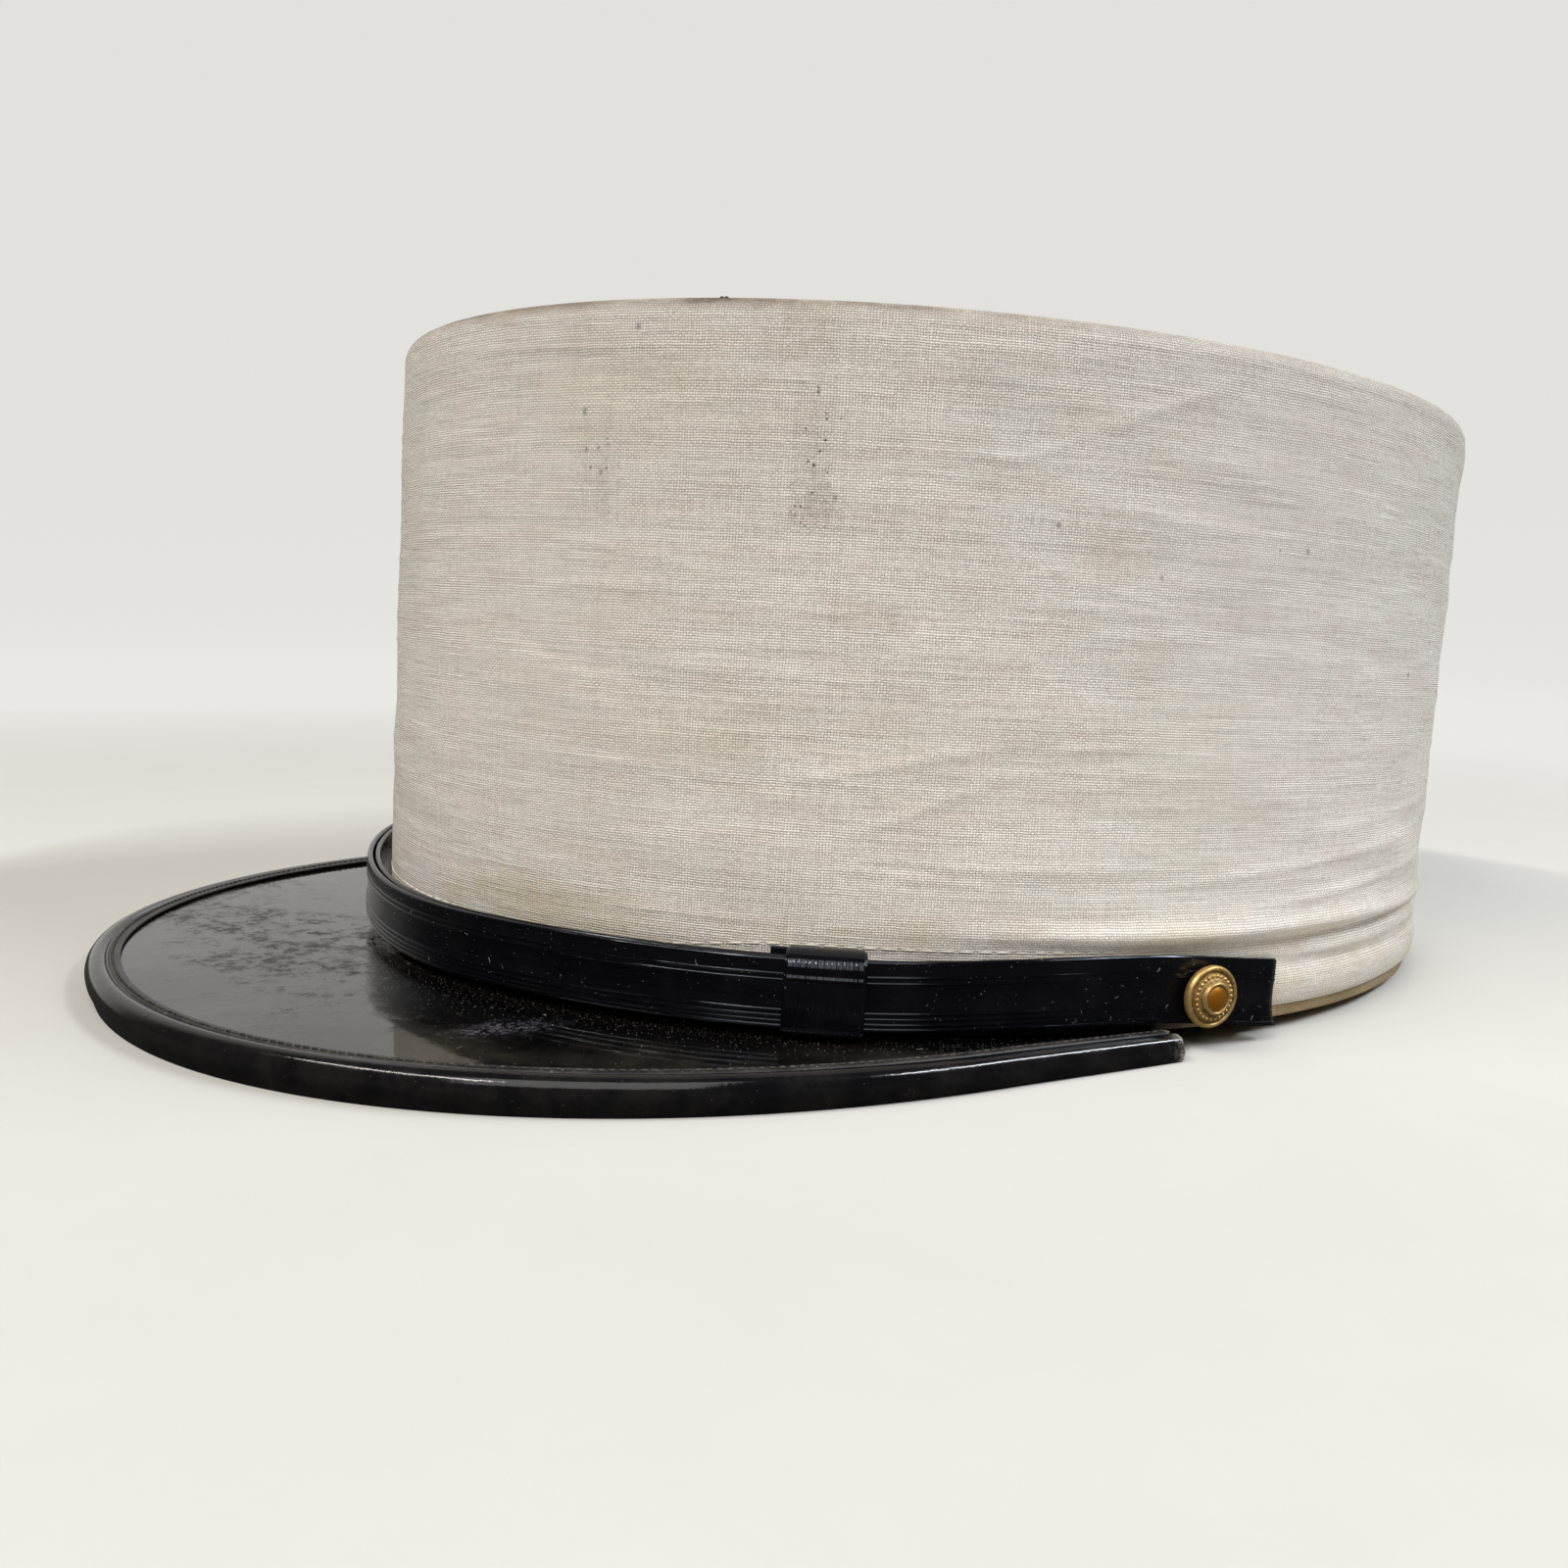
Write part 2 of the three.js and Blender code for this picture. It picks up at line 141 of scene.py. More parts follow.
def seat_direction(vectors):
    """Turns directions on the level hat into the frame."""
    return (seat(vectors) - seat(np.zeros(3))) / MM


print(f"the hat leans back {math.degrees(math.atan(REST_SLOPE)):.2f} degrees")
print(f"its middle is {SEAT_Y:.2f} mm back from the middle of its box")

# %% [markdown]
# ## One helper for every wall
# Nearly every part of a hat is a strip that runs round something: the crown's wall, the band, the bead,
# the strap. Such a strip is a row of sections with the same number of points each, so one function skins
# them all with quads. Writing the mesh from arrays keeps the walls closed, lets us choose where the
# points are dense, and gives a UV map in metres, so a weave keeps its true scale on every piece.


# %% Skin a row of sections
def signed_volume(points, quads):
    """Six times the volume that the quads enclose; it is negative when they face inwards."""
    a, b, c, d = (points[quads[:, k]] for k in range(4))
    return np.sum(a * np.cross(b, c)) + np.sum(a * np.cross(c, d))


def skin(name, sections, loop=False, along=None, across=None, sharp=35):
    """A closed mesh object through sections of points, given on the level hat."""
    count, ring = sections.shape[:2]
    points = seat(sections.reshape(-1, 3))
    index = np.arange(count * ring).reshape(count, ring)
    bays = count if loop else count - 1
    near = index[:bays]
    far = np.roll(index, -1, axis=0)[:bays]
    quads = np.stack([near, far, np.roll(far, -1, 1), np.roll(near, -1, 1)], axis=-1).reshape(-1, 4)
    row, column = np.meshgrid(np.arange(bays), np.arange(ring), indexing="ij")
    corner_row = np.stack([row, row + 1, row + 1, row], axis=-1).reshape(-1, 4)
    corner_column = np.stack([column, column, column + 1, column + 1], axis=-1).reshape(-1, 4)
    if signed_volume(points, quads) < 0:
        quads, corner_row, corner_column = quads[:, ::-1], corner_row[:, ::-1], corner_column[:, ::-1]
        ends = [index[0].tolist(), index[-1][::-1].tolist()]
    else:
        ends = [index[0][::-1].tolist(), index[-1].tolist()]
    faces = quads.tolist() + ([] if loop else ends)
    mesh = bpy.data.meshes.new(name)
    mesh.from_pydata(points.tolist(), [], faces)
    if along is not None:
        u = np.asarray(along, float)[corner_row].ravel() * MM
        v = np.asarray(across, float)[corner_column].ravel() * MM
        flat = np.zeros((len(mesh.loops), 2), np.float32)
        flat[: len(u)] = np.stack([u, v], axis=-1)
        mesh.uv_layers.new(name="UVMap").data.foreach_set("uv", flat.ravel())
    mesh.polygons.foreach_set("use_smooth", np.ones(len(mesh.polygons), bool))
    mesh.set_sharp_from_angle(angle=math.radians(sharp))
    piece = bpy.data.objects.new(name, mesh)
    scene.collection.objects.link(piece)
    print(f"{name}: {len(mesh.vertices)} points, {len(mesh.polygons)} faces")
    return piece


# %% Measure, paint and dress a piece
def lengths(line, closed=False):
    """Distance along a line of points, from 0 at its first; a closed line also counts its way back."""
    line = np.concatenate([line, line[:1]]) if closed else line
    steps = np.linalg.norm(np.diff(line, axis=0), axis=-1)
    return np.concatenate([[0], np.cumsum(steps)])


def paint(piece, name, values):
    """Stores one number for each point, for a material to read."""
    attribute = piece.data.attributes.new(name, "FLOAT", "POINT")
    attribute.data.foreach_set("value", np.asarray(values, np.float32).ravel())


def dress(piece, material, slot, *solids):
    """Gives a finished piece its material and its body, and hides the solids that it stands for; the slot is
    not used.
    """
    piece.data.materials.clear()
    piece.data.materials.append(material)
    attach(piece, "root")
    if solids:
        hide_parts(*solids)
    print(f"{piece.name} wears {material.name}, {len(material.node_tree.nodes)} nodes")


# %% [markdown]
# ## Helpers for materials
# A material in Blender is a small graph. Two helpers keep the graphs short to read: put adds a node and
# fills its inputs in order, and new_group starts a shared group with named sockets. Colours are written
# as a painter would read them off a picture, from 0 to 255, and turned into the linear values that
# the renderer works with.


# %% Nodes in one line each
def tone(red, green, blue):
    """A picture's colour, 0 to 255, as the linear colour of a shader socket."""
    share = np.array([red, green, blue]) / 255
    linear = np.where(share > 0.04045, ((share + 0.055) / 1.055) ** 2.4, share / 12.92)
    return (*linear.tolist(), 1.0)


def feed(tree, socket, value):
    """Wires an output into a socket, or sets the socket's own value."""
    if isinstance(value, bpy.types.NodeSocket):
        tree.links.new(value, socket)
    else:
        socket.default_value = value


def put(tree, kind, *values, out=0, **settings):
    """Adds a node, sets its menus, fills its inputs in order and returns one output."""
    node = tree.nodes.new(kind)
    for name, value in settings.items():
        setattr(node, name, value)
    for socket, value in zip(node.inputs, values):
        if value is not None:
            feed(tree, socket, value)
    return node.outputs[out]


def calc(tree, operation, *values):
    """One step of arithmetic."""
    return put(tree, "ShaderNodeMath", *values, operation=operation)


def times(tree, first, second):
    """One value times another."""
    return calc(tree, "MULTIPLY", first, second)


def scaled(tree, value, factor, offset):
    """A value times a factor, plus an offset."""
    return calc(tree, "MULTIPLY_ADD", value, factor, offset)


# %% Places and patterns
def object_place(tree):
    """Place in the frame, in metres, because every finished piece sits at the origin."""
    return put(tree, "ShaderNodeTexCoord", out=3)


def own_map(tree):
    """Place on the piece's own UV map, in metres."""
    return put(tree, "ShaderNodeUVMap", uv_map="UVMap")


def painted(tree, name):
    """A number that paint stored at the piece's points."""
    return put(tree, "ShaderNodeAttribute", attribute_name=name, out=2)


def ramp(tree, value, low, high, start=0.0, end=1.0):
    """A smooth rise from start to end as value goes from low to high."""
    return put(tree, "ShaderNodeMapRange", value, low, high, start, end, interpolation_type="SMOOTHSTEP")


def noise(tree, vector, scale, detail=2.0, roughness=0.5):
    """Cloudy values round one half."""
    return put(tree, "ShaderNodeTexNoise", vector, None, scale, detail, roughness)


def stretch(tree, vector, *scale):
    """The same pattern, stretched along its axes."""
    return put(tree, "ShaderNodeVectorMath", vector, scale, operation="MULTIPLY")


def blend(tree, share, first, second, mode="MIX"):
    """Two colours mixed by a share."""
    node = tree.nodes.new("ShaderNodeMix")
    node.data_type = "RGBA"
    node.blend_type = mode
    for name, value in {"Factor_Float": share, "A_Color": first, "B_Color": second}.items():
        socket = next(s for s in node.inputs if s.identifier == name)
        feed(tree, socket, value)
    return next(s for s in node.outputs if s.identifier == "Result_Color")


# %% Groups
def new_group(name, inputs, outputs):
    """A shader group with named sockets: returns its tree, its inputs and its outputs by name."""
    tree = bpy.data.node_groups.new(name, "ShaderNodeTree")
    for label, start in inputs.items():
        kind = "NodeSocketVector" if start is None else "NodeSocketFloat"
        socket = tree.interface.new_socket(label, in_out="INPUT", socket_type=kind)
        if start is not None:
            socket.default_value = start
    for label in outputs:
        tree.interface.new_socket(label, in_out="OUTPUT", socket_type="NodeSocketFloat")
    return tree, tree.nodes.new("NodeGroupInput").outputs, tree.nodes.new("NodeGroupOutput").inputs


def use_group(tree, group, **values):
    """Places a group in a material and fills its sockets by name; returns its outputs."""
    node = tree.nodes.new("ShaderNodeGroup")
    node.node_tree = group
    for label, value in values.items():
        feed(tree, node.inputs[label], value)
    return node.outputs


# %% Materials and bumps
def new_material(name, **constants):
    """A material with a Principled shader whose constant values are set on its own sockets."""
    material = bpy.data.materials.new(name)
    material.use_nodes = True
    shader = next(n for n in material.node_tree.nodes if n.type == "BSDF_PRINCIPLED")
    for label, value in constants.items():
        shader.inputs[label.replace("_", " ")].default_value = value
    return material, material.node_tree, shader.inputs


def bump(tree, height, distance, strength=1.0, under=None):
    """A normal that follows a height given in shares of a distance in metres."""
    node = tree.nodes.new("ShaderNodeBump")
    node.inputs["Strength"].default_value = strength
    node.inputs["Distance"].default_value = distance
    tree.links.new(height, node.inputs["Height"])
    if under is not None:
        tree.links.new(under, node.inputs["Normal"])
    return node.outputs["Normal"]


# %% [markdown]
# ## Shared effects
# Three effects return on several pieces. Weave is a plain weave: each thread is a hump that dives under
# its neighbours in turn, and some weft threads are thicker for a few centimetres, which spinners call
# slubs. Smudge is a soft patch with a ragged edge, for stains and scuffs. Grit is a scatter of grains
# for dust and lint. Each is a group, so every material can use it at its own scale.


# %% Weave
FINE_PITCH = 0.00042
WEFT_PITCH = 0.845
WANDER = {"per_metre": 330.0, "threads": 0.9}
DIVE = 0.36
ROW_APART = 2.37
PAIR = {"rows": 0.45, "apart": 3.11}
SLUB = {"own": 0.72, "paired": 0.28, "swell": 0.4}


def weave_group():
    tree, given, result = new_group(
        "weave", {"UV": None, "Pitch": FINE_PITCH, "Slub length": 0.012}, ["Height", "Streak", "Shade"]
    )
    place = put(tree, "ShaderNodeSeparateXYZ", given["UV"]).node.outputs
    wander = calc(tree, "SUBTRACT", noise(tree, given["UV"], WANDER["per_metre"]), 0.5)
    wander = times(tree, wander, WANDER["threads"])
    u = calc(tree, "ADD", calc(tree, "DIVIDE", place["X"], given["Pitch"]), wander)
    packed = calc(tree, "DIVIDE", place["Y"], times(tree, given["Pitch"], WEFT_PITCH))
    v = calc(tree, "ADD", packed, wander)
    column = calc(tree, "FLOOR", u)
    row = calc(tree, "FLOOR", v)

    def thread(across, along, number):
        hump = calc(tree, "SINE", times(tree, calc(tree, "FRACT", across), math.pi))
        phase = times(tree, calc(tree, "ADD", along, number), math.pi)
        over = scaled(tree, calc(tree, "SINE", phase), DIVE, 1 - DIVE)
        return times(tree, hump, over)

    def chance(x, y, low, high):
        cell = put(tree, "ShaderNodeCombineXYZ", x, y)
        value = put(tree, "ShaderNodeTexWhiteNoise", cell, noise_dimensions="2D")
        return scaled(tree, value, high - low, low)

    warp = thread(u, v, column)
    weft = thread(v, u, calc(tree, "ADD", row, 1.0))
    reach = calc(tree, "DIVIDE", place["X"], given["Slub length"])
    own_thread = put(tree, "ShaderNodeCombineXYZ", reach, times(tree, row, ROW_APART))
    fine = noise(tree, own_thread, 1.0, 1.0)
    pair = times(tree, calc(tree, "FLOOR", times(tree, v, PAIR["rows"])), PAIR["apart"])
    slow = put(tree, "ShaderNodeCombineXYZ", times(tree, reach, PAIR["rows"]), pair)
    broad = noise(tree, slow, 1.0, 1.0)
    streak = calc(tree, "ADD", times(tree, fine, SLUB["own"]), times(tree, broad, SLUB["paired"]))
    thin = ramp(tree, streak, 0.47, 0.35, 0.0, 0.6)
    slub = calc(tree, "SUBTRACT", ramp(tree, streak, 0.54, 0.66), thin)
    weft = times(tree, weft, scaled(tree, slub, SLUB["swell"], 1.0))
    height = calc(tree, "MAXIMUM", warp, weft)
    # Painted shade and highlight: the gaps between threads are darker, and weft threads on top are lighter,
    # as if lit from above; the chances below are the threads' own random tone.
    weft_lit = ramp(tree, calc(tree, "SUBTRACT", weft, warp), -0.2, 0.2, 0.78, 1.04)
    shade = times(tree, ramp(tree, height, 0.06, 0.74), weft_lit)
    for cell in ((row, 7.0, 0.94, 1.05), (column, 3.0, 0.95, 1.05), (column, row, 0.82, 1.13)):
        shade = times(tree, shade, chance(*cell))
    feed(tree, result["Height"], height)
    feed(tree, result["Streak"], slub)
    feed(tree, result["Shade"], shade)
    return tree


WEAVE = weave_group()
print("weave group:", len(WEAVE.nodes), "nodes")


# %% Smudge
def smudge_group():
    inputs = {"Vector": None, "Centre": None, "Size": None, "Ragged": 0.6, "Cloud": 0.5, "Speckle": 1.0}
    tree, given, result = new_group("smudge", inputs, ["Mask"])
    away = put(tree, "ShaderNodeVectorMath", given["Vector"], given["Centre"], operation="SUBTRACT")
    away = put(tree, "ShaderNodeVectorMath", away, given["Size"], operation="DIVIDE")
    reach = put(tree, "ShaderNodeVectorMath", away, operation="LENGTH", out=1)
    ragged = times(tree, calc(tree, "SUBTRACT", given["Cloud"], 0.5), given["Ragged"])
    edge = calc(tree, "ADD", reach, times(tree, ragged, 2.0))
    patch = ramp(tree, edge, 0.1, 1.0, 1.0, 0.0)
    speckled = scaled(tree, given["Speckle"], 0.6, 0.4)
    feed(tree, result["Mask"], times(tree, patch, speckled))
    return tree


def patchy(tree, vector, grain):
    """The two noises that smudges of one grain share: a cloud for their edges and a speckle inside."""
    cloud = noise(tree, vector, grain, 3.0, 0.65)
    speckle = ramp(tree, noise(tree, vector, grain * 4.5, 2.0, 0.7), 0.4, 0.62)
    return {"Vector": vector, "Cloud": cloud, "Speckle": speckle}


SMUDGE = smudge_group()


def smudge(tree, centre, size, ragged, noises):
    """A mask of one soft patch, with the two noises that patchy made."""
    return use_group(tree, SMUDGE, Centre=centre, Size=size, Ragged=ragged, **noises)["Mask"]


print("smudge group:", len(SMUDGE.nodes), "nodes")


# %% Grit
def grit_group():
    tree, given, result = new_group(
        "grit", {"Vector": None, "Grains per metre": 900.0, "Share": 0.3, "Size": 0.3}, ["Mask"]
    )
    cell = put(tree, "ShaderNodeTexVoronoi", given["Vector"], None, given["Grains per metre"]).node.outputs
    chance = put(tree, "ShaderNodeSeparateColor", cell["Color"]).node.outputs
    there = calc(tree, "LESS_THAN", chance["Red"], given["Share"])
    size = times(tree, given["Size"], scaled(tree, chance["Green"], 0.8, 0.2))
    inside = calc(tree, "SUBTRACT", 1.0, calc(tree, "DIVIDE", cell["Distance"], size))
    grain = ramp(tree, inside, 0.0, 0.4)
    feed(tree, result["Mask"], times(tree, grain, there))
    return tree


GRIT = grit_group()


def grains(tree, vector, per_metre, share, size):
    """A mask of grains: cells to the metre, the share of them that hold one, and its size in a cell."""
    values = {"Vector": vector, "Grains per metre": per_metre, "Share": share, "Size": size}
    return use_group(tree, GRIT, **values)["Mask"]


print("grit group:", len(GRIT.nodes), "nodes")

# %% [markdown]
# ## The crown's cloth
# The crown is one tall strip of cotton over a stiff wall. Round the back its hem has gone slack and lies
# in soft rolls with sharp creases between them. A cloth simulation could crumple it, but these folds run
# evenly round the hat, so each is a row in a table: its height, how far it stands out or in, and where
# it grows. Slow waves in the wall are a sum of cosines, which closes on itself round the hat.

# %% Folds and wrinkles
def table(columns, *rows):
    """Rows of values as dictionaries that share the names of their columns."""
    return [dict(zip(columns.split(), row)) for row in rows]


HEM_FOLDS = table(
    "height reach below above start full",
    (4.4, 1.4, 3.0, 2.3, 86, 104),
    (9.3, 0.75, 0.8, 1.1, 86, 104),
    (13.2, 1.7, 0.9, 1.9, 56, 92),
    (19.0, 0.5, 0.8, 1.3, 112, 136),
    (23.4, 0.4, 0.9, 1.4, 118, 142),
    (28.2, 0.35, 1.1, 1.8, 122, 146),
)
HEM_CREASES = table(
    "height reach below above start full",
    (7.4, -0.7, 0.7, 0.7, 90, 108),
    (11.4, -0.7, 0.9, 0.6, 58, 98),
)
FOLDS_EASE = {"start": 106, "full": 132, "share": 0.62}
SLACK = 0.17
SLACK_WAVES = 40
SLACK_IN_FRONT = 0.55
SLACK_GROWS = (40, 110)
FOLD_SHARE = 0.95
FOLD_SWING = 0.15
FOLD_DRIFT = 0.45
WRINKLES = table(
    "start end reach half",
    ((12.7, 90.9), (34.5, 89.9), 0.19, 0.6),
    ((71.6, 82.5), (83.5, 91.0), 0.30, 0.8),
    ((73.8, 72.3), (87.9, 71.0), 0.19, 0.6),
    ((63.9, 77.0), (69.3, 80.0), 0.19, 0.7),
    ((25.6, 45.8), (37.0, 44.3), 0.19, 0.5),
    ((50.2, 33.5), (65.7, 39.3), 0.25, 0.7),
    ((53.7, 25.7), (66.7, 35.6), 0.23, 0.7),
    ((70.6, 39.3), (77.9, 40.4), 0.23, 0.6),
    ((73.1, 55.4), (81.5, 55.4), 0.19, 0.6),
    ((4.6, 79.0), (19.5, 76.8), 0.15, 0.7),
    ((21.2, 65.7), (42.6, 60.3), 0.17, 0.7),
    ((25.3, 57.6), (38.4, 57.9), 0.21, 0.6),
    ((98.7, 47.9), (106.2, 41.7), 0.27, 0.8),
    ((60.2, 22.6), (78.0, 22.0), 0.23, 0.7),
    ((80.0, 20.3), (121.0, 26.2), 0.36, 0.8),
    ((93.0, 16.8), (126.0, 21.4), 0.47, 0.8),
    ((98.0, 27.4), (126.0, 31.5), 0.26, 0.8),
    ((66.9, 64.3), (78.0, 60.1), 0.15, 0.7),
)
SMALL_WRINKLES = 210
SMALL_WRINKLE = {"height": (17, 92), "long": (3, 13), "half": (0.45, 0.85), "reach": (0.04, 0.16)}
SMALL_WRINKLE_LEAN = 0.05
SMALL_WRINKLE_BEND = 0.004
CLOTH_PER_DEGREE = 1.66
BACK_SEAM = {"ridge": 0.25, "half": 3.2, "groove": 0.4, "slit": 0.45}

# %% Draw the slack and the small wrinkles
draw = np.random.default_rng(7)
slack_turns = draw.integers(-16, 17, SLACK_WAVES)
slack_pitch = draw.uniform(8, 32, SLACK_WAVES)
slack_phase = draw.uniform(0, 2 * math.pi, SLACK_WAVES)
fold_turns = draw.integers(2, 9, (8, 3))
fold_phase = draw.uniform(0, 2 * math.pi, (8, 3))
wrinkle_rows = []
for row in WRINKLES:
    span = (row["end"][0] - row["start"][0]) * CLOTH_PER_DEGREE
    middle = (np.array(row["start"]) + row["end"]) / 2
    lean = (row["end"][1] - row["start"][1]) / span
    wrinkle_rows.append((*middle, span / 2, lean, 0.0, row["half"], row["reach"]))
for number in range(SMALL_WRINKLES):
    middle = (draw.uniform(-180, 180), draw.uniform(*SMALL_WRINKLE["height"]))
    long = draw.uniform(*SMALL_WRINKLE["long"])
    lean = draw.normal(0, SMALL_WRINKLE_LEAN)
    bend = draw.normal(0, SMALL_WRINKLE_BEND)
    half = draw.uniform(*SMALL_WRINKLE["half"])
    reach = draw.uniform(*SMALL_WRINKLE["reach"])
    wrinkle_rows.append((*middle, long, lean, bend, half, reach))
print(len(wrinkle_rows), "wrinkles,", len(HEM_FOLDS), "folds and", len(HEM_CREASES), "creases")


# %% Waves, wrinkles and rolls
def ripple(angle, row):
    """A slow uneven wave round the hat, between about -1 and 1; each row has its own."""
    turn = np.radians(angle)
    return sum(np.cos(turn * n + p) for n, p in zip(fold_turns[row], fold_phase[row])) / 2


def slack(angle, height):
    """Shallow waves of slack cloth, longer round the hat than up it."""
    turn = np.radians(angle)
    waves = zip(slack_turns, slack_pitch, slack_phase)
    total = sum(np.cos(turn * n + height * 2 * math.pi / p + f) for n, p, f in waves)
    return total / math.sqrt(SLACK_WAVES)


def wrinkles(angle, height):
    """Small crisp creases, each a ridge along a line that leans and bends a little and fades at its ends."""
    total = 0.0
    for at, level, long, lean, bend, half, reach in wrinkle_rows:
        along = ((angle - at + 180) % 360 - 180) * CLOTH_PER_DEGREE
        off = height - level - lean * along - bend * along * along
        total = total + reach * np.exp(-((along / long) ** 4) - (off / half) ** 2)
    return total


def swell(height, row):
    """The profile of one fold, ridge or groove, with a slope of its own above and below."""
    spread = np.where(height > row["height"], row["above"], row["below"])
    return row["reach"] * np.exp(-(((height - row["height"]) / spread) ** 2))


# %% How far the cloth stands out
def relief(angle, height):
    """How far the cloth stands out from the plain wall."""
    away = np.abs(angle)
    loose = SLACK_IN_FRONT + (1 - SLACK_IN_FRONT) * grow(away, *SLACK_GROWS)
    total = SLACK * slack(angle, height) * loose
    ease = 1 - FOLDS_EASE["share"] * grow(away, FOLDS_EASE["start"], FOLDS_EASE["full"])
    for number, row in enumerate(HEM_FOLDS + HEM_CREASES):
        share = ease * grow(away, row["start"], row["full"])
        share = share * (FOLD_SHARE + FOLD_SWING * ripple(angle, number))
        drift = height - FOLD_DRIFT * ripple(angle + 40, number)
        total = total + share * swell(drift, row)
    total = total + wrinkles(angle, height)
    back = np.abs(180 - away) * math.radians(1) * HEM_WIDTH / 2
    total = total + BACK_SEAM["ridge"] * np.exp(-((back / BACK_SEAM["half"]) ** 2))
    return total - BACK_SEAM["groove"] * np.exp(-((back / BACK_SEAM["slit"]) ** 2))


print(f"at the side, the hem's upper roll stands out {relief(100.0, HEM_FOLDS[2]['height']):.2f} mm")

# %% Section of the crown
CROWN_COLUMNS = 440
HEM_ROLL = 2.0
HEM_BOTTOM = 0.3
RIM_BASE = CROWN_HEIGHT - RIM_RADIUS
RIM_TURN_IN = 5.0
WALL_STEP = 0.5
HEM_STEPS = 8
RIM_STEPS = 9
INNER_LEVELS = (80, 60, 40, 22, 8)


def arc(start, end, steps):
    """Angles in radians, given in degrees, both ends included."""
    return np.radians(np.linspace(start, end, steps))


def crown_profile():
    """Rows of the cloth's section: height, inset and how much of the relief each takes."""
    under = arc(-90, 0, HEM_STEPS)
    over = arc(0, 90, RIM_STEPS)
    wall_foot = HEM_BOTTOM + HEM_ROLL
    wall = np.arange(wall_foot + WALL_STEP, RIM_BASE - WALL_STEP / 2, WALL_STEP)
    inner = np.array([RIM_BASE, *INNER_LEVELS, HEM_BOTTOM + 0.4])
    hem_height = wall_foot + HEM_ROLL * np.sin(under)
    hem = np.stack([hem_height, HEM_ROLL * (1 - np.cos(under)), 0 * under + 1], axis=-1)
    side = np.stack([wall, 0 * wall, 0 * wall + 1], axis=-1)
    rim_height = RIM_BASE + RIM_RADIUS * np.sin(over)
    rim = np.stack([rim_height, RIM_RADIUS * (1 - np.cos(over)), np.cos(over)], axis=-1)
    edge = [
        (CROWN_HEIGHT - 0.5, RIM_RADIUS + 1, 0),
        (CROWN_HEIGHT - CLOTH, RIM_RADIUS + RIM_TURN_IN, 0),
        (CROWN_HEIGHT - CLOTH - 1, RIM_RADIUS + RIM_TURN_IN, 0),
    ]
    inside = np.stack([inner, 0 * inner + CLOTH, 0 * inner], axis=-1)
    return np.concatenate([hem, side, rim, edge, inside])


rows = crown_profile()
print("section of the crown:", len(rows), "points")


# %% Loft the crown's wall
def crown_point(angle, inset, height):
    """A point of the crown, whose top rises towards the front."""
    point = oval(angle, inset, height)
    point[..., 2] = height * (1 - TOP_SLOPE * point[..., 1] / CROWN_HEIGHT)
    return point


around = np.linspace(-180, 180, CROWN_COLUMNS, endpoint=False)[:, None]
outset = relief(around, rows[:, 0]) * rows[:, 2]
crown_sections = crown_point(around, rows[:, 1] - outset, rows[:, 0])
hem_line = oval(around[:, 0], 0, 0.0)
crown_along = lengths(hem_line, closed=True)
crown_across = lengths(rows[:, :2], closed=True)
crown_across += HEM_BOTTOM + HEM_ROLL - crown_across[HEM_STEPS - 1]
crown_cloth = skin(
    "crown_cloth", crown_sections, loop=True, along=crown_along, across=crown_across, sharp=60
)
paint(crown_cloth, "wall", np.ones(crown_sections.shape[:2]))


def cloth_place(angle, height):
    """Where a spot of the crown lies on its UV map, in metres."""
    along = np.interp(angle, np.linspace(-180, 180, CROWN_COLUMNS + 1), crown_along)
    return (along * MM, height * MM, 0.0)


# %% [markdown]
# ## Cotton
# White cotton is never one white. The threads shade each other and slubs catch the light, and this is
# painted into the colour as shade and highlight, with a slight painted darkening towards the rim, as the
# light falls. Handling leaves grey and yellow patches, and the edges at the rim and above the strap go tan
# first; at the rim the soil also serves as painted shade. All of it is paint on the cloth's own UV map, so
# that stains stay on the threads. The marks are a short table: the angle from the front, the height, the
# size of the patch in millimetres, its strength and its colour.
# The top panel wears the same cotton. It lacks the wall attribute, and so it takes a height halfway up,
# where neither the rim's nor the foot's soil reaches.

# %% Colours and places of the soil
MID_WALL = 0.05
COTTON = tone(255, 250, 241)
# The gap tone is painted shade, for the gaps between the threads.
COTTON_GAP_SHADE = tone(142, 131, 117)
SOIL = {
    "tan": tone(150, 124, 84),
    "yellow": tone(196, 176, 122),
    "grey": tone(124, 114, 90),
    "brown": tone(104, 80, 48),
    "dark": tone(52, 42, 34),
    "blush": tone(250, 238, 236),
}
# Painted light: the cotton is painted a little brighter at the foot and darker towards the rim, as the light
# falls on it.
PAINTED_HEIGHT_LIGHT = {"foot": 0.012, "rim": 0.096, "foot_tone": 1.03, "rim_tone": 0.92}
# Painted highlight and shade: slub threads are painted lighter and the thin threads beside them darker.
SLUB_LIGHT_AND_SHADE = 0.06
CLOUDS = table(
    "soil mode stretch grain limits strength",
    ("yellow", "MULTIPLY", (1.0, 1.6), (24.0, 5.0, 0.6), (0.46, 0.74), 0.11),
    ("grey", "MIX", (0.7, 2.2), (55.0, 4.0, 0.6), (0.5, 0.78), 0.07),
    ("blush", "MULTIPLY", (1.0, 2.5), (90.0, 4.0, 0.6), (0.42, 0.7), 0.4),
)
FRONT = {"near": 0.076, "far": 0.139, "left": 0.4}
# Soil and painted shade at the rim: the soil is strong enough to darken the rim that faces up. It is
# strongest towards the front and fades at the very top.
RIM_SOIL_AND_SHADE = {"from": 0.0942, "full": 0.0968, "strength": 0.84}
RIM_TOP_FADE = {"from": 0.0972, "full": 0.0986, "left": 0.35}
FOOT_SOIL = {"from": 0.0185, "full": 0.0105, "strength": 0.3}

print(len(SOIL), "colours of soil and", len(CLOUDS), "layers of clouds")


